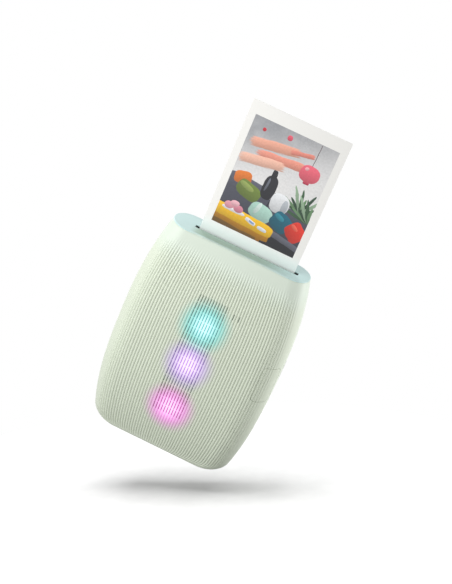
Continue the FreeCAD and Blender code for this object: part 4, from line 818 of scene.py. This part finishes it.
# Colour, roughness, drift of tone, size and depth of the grain, coat, and light let through
PLASTICS = {
    "pale_shell": (PALE, 0.45, 0.05, 0.00035, 0.03),
    "black_plastic": ((30, 31, 33), 0.42, 0.3),
    "grey_plastic": ((120, 124, 128), 0.5, 0.12),
    "white_plastic": ((226, 228, 226), 0.42, 0.06),
    "diffuser": ((236, 238, 238), 0.55, 0.04, 0.0005, 0.1, 0.0, 0.3),
    "chip_black": ((36, 37, 40), 0.38, 0.25, 0.0002, 0.25),
    "roller_rubber": ((58, 60, 62), 0.72, 0.25, 0.0003, 0.35),
    "battery_wrap": ((86, 130, 176), 0.32, 0.1, 0.0006, 0.1, 0.3),
    "wire_red": ((190, 42, 36), 0.4, 0.12),
    "ribbon_film": ((196, 128, 52), 0.3, 0.12, 0.0005, 0.1, 0.2),
    "lens_glass": ((222, 232, 236), 0.08, 0.03, 0.0008, 0.02, 0.0, 0.85),
    "film_paper": ((241, 241, 238), 0.36, 0.02, 0.0003, 0.08, 0.15),
    "print_back": ((62, 64, 68), 0.42, 0.2, 0.0003, 0.12, 0.2),
}
# Colour, roughness and fineness of the lines
METALS = {
    "sheet_steel": ((186, 188, 190), 0.36),
    "bright_steel": ((214, 216, 218), 0.2, 1500.0),
    "motor_can": ((176, 178, 182), 0.3, 1100.0),
    "bush_brass": ((206, 168, 92), 0.3, 1300.0),
    "screw_steel": ((150, 152, 156), 0.3, 1600.0),
}

for name, row in PLASTICS.items():
    plastic(name, *row)
for name, row in METALS.items():
    metal(name, *row)
light_face("light_cyan", (120, 230, 230))
light_face("light_violet", (196, 150, 245))
light_face("light_pink", (245, 120, 225))
sage_shell()
mint_cap()
slot_lens()
print_paper()
printed_picture()
circuit_board()

# The CAD nodes that keep their shape, by finish
NODE_FINISHES = {
    "pale_shell": "door_catch",
    "black_plastic": (
        "slot_liner film_pack pack_spring film_guide exposure_head catch_rest pressing_pads button_switch"
    ),
    "grey_plastic": "chassis",
    "white_plastic": "light_frame drive_gear idler_gear motor_pinion led_plug head_plug",
    "diffuser": "light_diffuser",
    "light_cyan": "led_upper",
    "light_violet": "led_middle",
    "light_pink": "led_lower",
    "circuit_board": "main_board led_board switch_board port_board",
    "chip_black": "board_chips",
    "sheet_steel": "left_roller_plate right_roller_plate film_claw radio_module charging_port",
    "bright_steel": "drive_shaft pinch_shaft motor_shaft hinge_pins idler_post",
    "motor_can": "motor",
    "bush_brass": "bearing_bushes",
    "roller_rubber": "drive_sleeve pinch_sleeve",
    "screw_steel": "housing_screws chassis_screws board_screws light_screws",
    "battery_wrap": "battery",
    "wire_red": "battery_leads",
    "ribbon_film": "head_ribbon",
    "lens_glass": "exposure_lens",
    "film_paper": "film_stack",
}


def place_piece(piece, body, finish, replaced=()):
    """Gives a finished piece its material and its body, and hides the CAD parts it stands in for."""
    piece.data.materials.clear()
    piece.data.materials.append(finishes[finish])
    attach(piece, body)
    if replaced:
        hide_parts(*replaced)


# Casing
def barrel_inside():
    """The hollow inside the casing, drawn on above its top, as a tool."""
    loops = [whole_loop(z, WALL) for z in body_heights(WALL, CAP_SEAT)]
    return lofted(loops + [[point + Vector((0, 0, 2)) for point in loops[-1]]])


def rim_heights():
    """Heights of the shells, with a fine chamfer under the cap."""
    return [(z, 0.0) for z in body_heights(0.0, CAP_SEAT - SEAM)] + [(CAP_SEAT, SEAM)]


def ribbed_solid(name):
    """The hollow front half of the body with its ribs, and its grooves marked."""
    loops, grooves = [], []
    for z, rim in rim_heights():
        rows = front_loop(z, rim)
        loops.append([point for point, groove in rows])
        grooves += [groove for point, groove in rows]
    piece = as_object(name, lofted(loops))
    marks = piece.data.attributes.new("groove", "FLOAT", "POINT")
    marks.data.foreach_set("value", grooves)
    return carve(piece, [barrel_inside()])


def build_front_cover():
    """The ribbed front half of the casing, open for the side button."""
    cover = carve(ribbed_solid("ribbed_cover"), [button_prism(BUTTON_GAP)])
    place_piece(smooth(cover), "housing", "sage_shell", ["front_cover"])


def build_side_button():
    """The part of the ribbed front that is the side button."""
    button = carve(ribbed_solid("side_panel_button"), [button_prism(0.0)], "INTERSECT")
    place_piece(smooth(button), "button", "sage_shell", ["side_button"])


def rear_solid(name):
    """The hollow back half of the body."""
    shell = as_object(name, lofted([rear_loop(z, rim) for z, rim in rim_heights()]))
    return carve(shell, [barrel_inside()])


def hinge_rod(radius, gap):
    """A bar along the door's hinge, longer than the door by a gap at each end."""
    return rod(radius, *[(x, HINGE_Y, HINGE_Z) for x in (DOOR_LEFT - gap, DOOR_RIGHT + gap)])


def build_rear_housing():
    """The smooth back half of the casing, open for the door, its catch, the port and the screws."""
    left, right = DOOR_LEFT - DOOR_GAP, DOOR_RIGHT + DOOR_GAP
    notch = (PRINT_X - NOTCH_HALF, PRINT_X + NOTCH_HALF, CATCH_Y - CATCH_GAP, BEHIND)
    tools = [
        block(left, right, DOOR_FRONT, BEHIND, HINGE_Z, DOOR_TOP + DOOR_GAP),
        hinge_rod(HINGE_RADIUS + DOOR_GAP, DOOR_GAP),
        block(*notch, DOOR_TOP - CATCH_GAP, NOTCH_TOP),
        block(*PORT_WELL),
    ]
    for x in (-SCREW_X, SCREW_X):
        for z in SCREW_HEIGHTS:
            tools.append(rod(SCREW_WELL, (x, SCREW_Y, z), (x, BEHIND, z)))
    housing = carve(rear_solid("rear_shell"), tools)
    place_piece(smooth(housing), "housing", "pale_shell", ["rear_housing"])


def build_film_door():
    """The door in the back, with the knuckle of its hinge and the well of its catch."""
    door = rear_solid("film_door_skin")
    carve(door, [block(DOOR_LEFT, DOOR_RIGHT, DOOR_FRONT, BEHIND, DOOR_FOOT, DOOR_TOP)], "INTERSECT")
    carve(door, [hinge_rod(HINGE_RADIUS, 0.0)], "UNION")
    half = CATCH_WIDTH / 2 + CATCH_GAP
    foot, top = CATCH_FOOT - CATCH_TRAVEL - CATCH_GAP, CATCH_FOOT + CATCH_HEIGHT + CATCH_GAP
    well = block(PRINT_X - half, PRINT_X + half, CATCH_Y, BEHIND, foot, top)
    carve(door, [well, hinge_rod(HINGE_BORE, 1.0)])
    place_piece(smooth(door), "door", "pale_shell", ["film_door"])


def build_top_cap():
    """Mint lid with a rounded edge and the slot through it."""
    loops = [whole_loop(CAP_SEAT, SEAM), whole_loop(CAP_SEAT + SEAM / 2)]
    for turn in range(0, 91, 15):
        angle = math.radians(turn)
        height = BODY_HEIGHT - CAP_ROUND * (1 - math.sin(angle))
        loops.append(whole_loop(height, CAP_ROUND * (1 - math.cos(angle))))
    cap = as_object("mint_lid", lofted(loops))
    outline = rounded_rectangle(SLOT_LENGTH / 2, SLOT_WIDTH / 2, SLOT_ROUND)
    slot_loops = []
    for z in (CAP_SEAT - 1, BODY_HEIGHT + 1):
        slot_loops.append([Vector((PRINT_X + u, PRINT_Y + v, z)) for u, v in outline])
    carve(cap, [lofted(slot_loops)])
    place_piece(smooth(cap), "housing", "mint_cap", ["top_cap"])


# Print: its card, and the two thin layers that lie in shallow windows of the card
CARD_ROUND, CARD_EDGE, WINDOW_DEPTH = 0.5, 0.05, 0.05
LAYER_TOP, LAYER_BOTTOM, LAYER_ROUND, LAYER_EDGE = 0.02, 0.06, 0.02, 0.01
BACKING_SIDE, BACKING_FOOT, BACKING_TOP = 2.5, 12.0, 3.0


def card(name, left, right, foot, top, front, back, radius, edge):
    """A thin upright card with round corners and softened edges."""
    outline = rounded_rectangle((right - left) / 2, (top - foot) / 2, radius, 5)
    middle = Vector(((left + right) / 2, 0, (foot + top) / 2))
    loops = []
    for y, inset in ((front, edge), (front + edge, 0), (back - edge, 0), (back, edge)):
        loop = []
        for u, v in outline:
            u -= math.copysign(inset, u)
            v -= math.copysign(inset, v)
            loop.append(middle + Vector((u, y, v)))
        loops.append(loop)
    return as_object(name, lofted(loops))


def build_print():
    """The print's card, its picture and its dark back."""
    left, right = PRINT_X - PRINT_WIDTH / 2, PRINT_X + PRINT_WIDTH / 2
    front, back = PRINT_Y - PRINT_THICK / 2, PRINT_Y + PRINT_THICK / 2
    top = PRINT_FOOT + PRINT_HEIGHT
    low = PRINT_FOOT + PICTURE_FOOT
    window = (PRINT_X - PICTURE_WIDTH / 2, PRINT_X + PICTURE_WIDTH / 2, low, low + PICTURE_HEIGHT)
    panel = (left + BACKING_SIDE, right - BACKING_SIDE, PRINT_FOOT + BACKING_FOOT, top - BACKING_TOP)
    sheet = card("print_card", left, right, PRINT_FOOT, top, front, back, CARD_ROUND, CARD_EDGE)
    tools = [
        block(*window[:2], front - 1, front + WINDOW_DEPTH, *window[2:]),
        block(*panel[:2], back - WINDOW_DEPTH, back + 1, *panel[2:]),
    ]
    carve(sheet, tools)
    place_piece(smooth(sheet), "print", "print_paper", ["photo_print"])
    picture = card("print_image", *window, front + LAYER_TOP, front + LAYER_BOTTOM, LAYER_ROUND, LAYER_EDGE)
    place_piece(smooth(picture), "print", "printed_picture", ["print_picture"])
    backing = card("print_backing", *panel, back - LAYER_BOTTOM, back - LAYER_TOP, LAYER_ROUND, LAYER_EDGE)
    place_piece(smooth(backing), "print", "print_back")


# Light slots: their rib valleys and heights, and the section of their lenses, across and in depth
SLOT_COLUMNS = range(23, 34)
SLOT_PAIR = ((36, 93.2, 96.4), (38, 93.2, 96.4))
SLOT_FOOT, SLOT_TOP, SLOT_ROWS, SLOT_BRIDGE = 26.0, 98.6, 16, 0.4
LENS_FACE = ((-0.36, 0.34), (-0.2, 0.2), (0.0, 0.16), (0.2, 0.2), (0.36, 0.34))
LENS_EDGE, LENS_BACK = 0.34, 0.7
LENS_TAPER, LENS_END = 0.3, 0.35


def slot_rows():
    """The rib valley, foot and top of each light slot, with the pair of short ones beside them."""
    pitch = (SLOT_TOP - SLOT_FOOT + SLOT_BRIDGE) / SLOT_ROWS
    rows = []
    for column in SLOT_COLUMNS:
        for row in range(SLOT_ROWS):
            low = SLOT_FOOT + row * pitch
            rows.append((column, low, low + pitch - SLOT_BRIDGE))
    return rows + list(SLOT_PAIR)


def build_light_slots():
    """Small smoky lenses lying in the valleys of the ribs."""
    mesh = bmesh.new()
    for column, low, high in slot_rows():
        ends = ((low, LENS_END), (low + LENS_TAPER, 1.0), (high - LENS_TAPER, 1.0), (high, LENS_END))
        loops = []
        for z, share in ends:
            middle = rib_point(z, column / RIB_COUNT, 0)
            section = [(u * share, LENS_EDGE + (depth - LENS_EDGE) * share) for u, depth in LENS_FACE]
            section.append((0.0, LENS_BACK))
            loops.append([middle + Vector((u, depth, 0)) for u, depth in section])
        lofted(loops, mesh)
    place_piece(smooth(as_object("light_slots", mesh)), "housing", "slot_lens")


# Ridges of the catch: their rows, and how far out and how high their section is at each step
GRIP_ROWS, GRIP_PITCH, GRIP_MARGIN = 4, 1.2, 1.5
GRIP_HALF, GRIP_ROUND = 0.3, 0.28
GRIP_STEPS = ((-1.0, 1.0), (0.05, 1.0), (0.2, 0.6))


def build_catch_grips():
    """Fine ridges on the thumb piece of the door's catch."""
    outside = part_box("door_catch")[1].y / MM
    outline = rounded_rectangle(CATCH_WIDTH / 2 - GRIP_MARGIN, GRIP_HALF, GRIP_ROUND, 4)
    mesh = bmesh.new()
    for row in range(GRIP_ROWS):
        z = CATCH_FOOT + GRIP_PITCH * (row + 1)
        loops = []
        for out, share in GRIP_STEPS:
            loops.append([Vector((PRINT_X + u, outside + out, z + v * share)) for u, v in outline])
        lofted(loops, mesh)
    place_piece(smooth(as_object("catch_grips", mesh)), "catch", "pale_shell")


SPRING_WAVES, SPRING_WIRE, SPRING_STEPS, SPRING_SIDES = 2, 0.28, 96, 12


def build_catch_spring():
    """The waved wire under the catch, built in one fixed shape; the real one flattens as the catch is
    pressed down on it.
    """
    low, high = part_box("catch_spring")
    middle, half = (low + high) / 2 / MM, (high - low) / 2 / MM
    reach, rise, depth = half.x - SPRING_WIRE, half.z - SPRING_WIRE, Vector((0, 1, 0))
    loops = []
    for step in range(SPRING_STEPS + 1):
        turn = 2 * math.pi * SPRING_WAVES * step / SPRING_STEPS
        place = middle + Vector((reach * math.cos(turn), 0, rise * (2 * step / SPRING_STEPS - 1)))
        along = Vector((-reach * math.sin(turn), 0, rise / (math.pi * SPRING_WAVES))).normalized()
        loops.append(ring(place, SPRING_WIRE, along.cross(depth), depth, SPRING_SIDES))
    spring = as_object("catch_wire_spring", lofted(loops))
    place_piece(smooth(spring, 60), "door", "sheet_steel", ["catch_spring"])
    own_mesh(spring)


# Camera, light and floor of the photograph
CAMERA_AZIMUTH = math.radians(4.5)
CAMERA_ELEVATION = math.radians(25.69)
CAMERA_ROLL = math.radians(23.65)
CAMERA_DISTANCE = 823.0
CAMERA_TARGET = Vector((1.57, -1.0, 98.29))
FOCAL_PIXELS = 1581.5
SENSOR = 36.0


def camera_axes():
    """The camera's right, up and backward directions."""
    flat = math.cos(CAMERA_ELEVATION)
    back = Vector((
        math.sin(CAMERA_AZIMUTH) * flat, -math.cos(CAMERA_AZIMUTH) * flat, math.sin(CAMERA_ELEVATION),
    ))
    right = (-back).cross(Vector((0, 0, 1))).normalized()
    up = right.cross(-back)
    turn_cos, turn_sin = math.cos(CAMERA_ROLL), math.sin(CAMERA_ROLL)
    return turn_cos * right + turn_sin * up, turn_cos * up - turn_sin * right, back


RIGHT, UP, BACK = camera_axes()


def make_camera():
    """The camera, where the photograph's own one stood."""
    data = bpy.data.cameras.new("camera")
    data.sensor_width = SENSOR
    data.lens = FOCAL_PIXELS * SENSOR / max(PHOTO_SIZE)
    data.clip_start, data.clip_end = 0.01, 20.0
    camera = bpy.data.objects.new("camera", data)
    bpy.context.scene.collection.objects.link(camera)
    turn = Matrix((RIGHT, UP, BACK)).transposed().to_4x4()
    camera.matrix_world = Matrix.Translation((CAMERA_TARGET + BACK * CAMERA_DISTANCE) * MM) @ turn
    bpy.context.scene.camera = camera


# Lamps of the object: how far right, up and back of the camera's target, power, size and aim
LAMPS = {
    "behind": ((-100, 900, -500), 4.0, 300),
    "front_left": ((-230, 190, 250), 0.85, 260),
    "near_left": ((-260, -40, 220), 0.37, 260, (-20, -10, 60)),
    "right_side": ((560, -105, -30), 2.2, 320),
}


def make_lamp(name, linked, place, power, size, aim=(0, 0, 70)):
    """A soft square lamp that faces the object and lights what its collection says."""
    data = bpy.data.lights.new(name, "AREA")
    data.energy = power
    data.size = size * MM
    lamp = bpy.data.objects.new(name, data)
    bpy.context.scene.collection.objects.link(lamp)
    lamp.location = place * MM
    lamp.light_linking.receiver_collection = linked
    lamp.rotation_euler = (Vector(aim) - place).to_track_quat("-Z", "Y").to_euler()


WORLD_LIGHT = 0.42
FLOOR_TILT, FLOOR_ROLL = math.radians(11), math.radians(2.8)
FLOOR_DROP, FLOOR_RADIUS = 83.0, 190.0
FLOOR_GLOW, FLOOR_BOUNCE = 0.11, (0.34, 0.34, 0.34, 1)
FLOOR_UP = UP * math.cos(FLOOR_TILT) + BACK * math.sin(FLOOR_TILT) - RIGHT * math.sin(FLOOR_ROLL)
FLOOR_UP.normalize()
BODY_MIDDLE = Vector((0, 0, 62))


def seen_rays(board):
    """1 for what the eye sees, straight, in a mirror or through glass, and 0 for other rays."""
    rays = board.add("LightPath").outputs
    seen = board.math("MAXIMUM", rays["Is Camera Ray"], rays["Is Glossy Ray"])
    return board.math("MAXIMUM", seen, rays["Is Transmission Ray"])


def floor_material():
    """White floor that keeps the object's shadow, and is clear from below."""
    board, shader = new_material("white_floor")
    tone = board.range(board.noise(Scale=30.0), 0.3, 0.7, 0.78, 0.81)
    seen = seen_rays(board)
    below = board.add("NewGeometry").outputs["Backfacing"]
    board.join(shader, {
        "Base Color": board.mix(seen, FLOOR_BOUNCE, board.toned(WHITE, tone)),
        "Roughness": 1.0,
        "Specular IOR Level": 0.0,
        "Emission Color": WHITE,
        "Emission Strength": board.times(seen, FLOOR_GLOW),
        "Alpha": board.less(1.0, below),
    })


def make_floor():
    """A round patch of floor under the object, square to the photograph's own down."""
    mesh = bmesh.new()
    bmesh.ops.create_circle(mesh, cap_ends=True, segments=96, radius=FLOOR_RADIUS * MM)
    floor = as_object("floor", mesh)
    turn = FLOOR_UP.to_track_quat("Z", "Y").to_matrix().to_4x4()
    floor.matrix_world = Matrix.Translation((BODY_MIDDLE - FLOOR_UP * FLOOR_DROP) * MM) @ turn
    floor_material()
    floor.data.materials.append(finishes["white_floor"])
    return floor


def make_world():
    """White all round for the eye, and a softer even light on the object."""
    world = bpy.data.worlds.new("studio")
    bpy.context.scene.world = world
    world.use_nodes = True
    board = Board(world.node_tree)
    strength = board.range(seen_rays(board), 0.0, 1.0, WORLD_LIGHT, 1.0, "LINEAR")
    board.join(world.node_tree.nodes["Background"], {"Color": WHITE, "Strength": strength})


def receivers(name, floor, state):
    """A light linking collection that takes in, or leaves out, the floor."""
    chosen = bpy.data.collections.new(name)
    chosen.objects.link(floor)
    chosen.collection_objects[0].light_linking.link_state = state
    return chosen


def light_scene(floor):
    """Lamps for the object, and others that only light the floor."""
    make_world()
    on_floor = receivers("floor_only", floor, "INCLUDE")
    off_floor = receivers("all_but_floor", floor, "EXCLUDE")
    above = CAMERA_TARGET + FLOOR_UP * 1400 + BACK * 300
    make_lamp("floor_light_left", on_floor, above - RIGHT * 160, 19.0, 900)
    make_lamp("floor_light_right", on_floor, above + RIGHT * 640, 8.5, 1000)
    for name, ((right, up, back), *rest) in LAMPS.items():
        make_lamp(name, off_floor, CAMERA_TARGET + RIGHT * right + UP * up + BACK * back, *rest)


for finish, names in NODE_FINISHES.items():
    for name in names.split():
        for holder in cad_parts[name].material_slots:
            holder.material = finishes[finish]

make_camera()
build_front_cover()
build_side_button()
build_rear_housing()
build_film_door()
build_top_cap()
build_print()
build_light_slots()
build_catch_grips()
build_catch_spring()
light_scene(make_floor())

bpy.context.scene.view_settings.view_transform = "Standard"
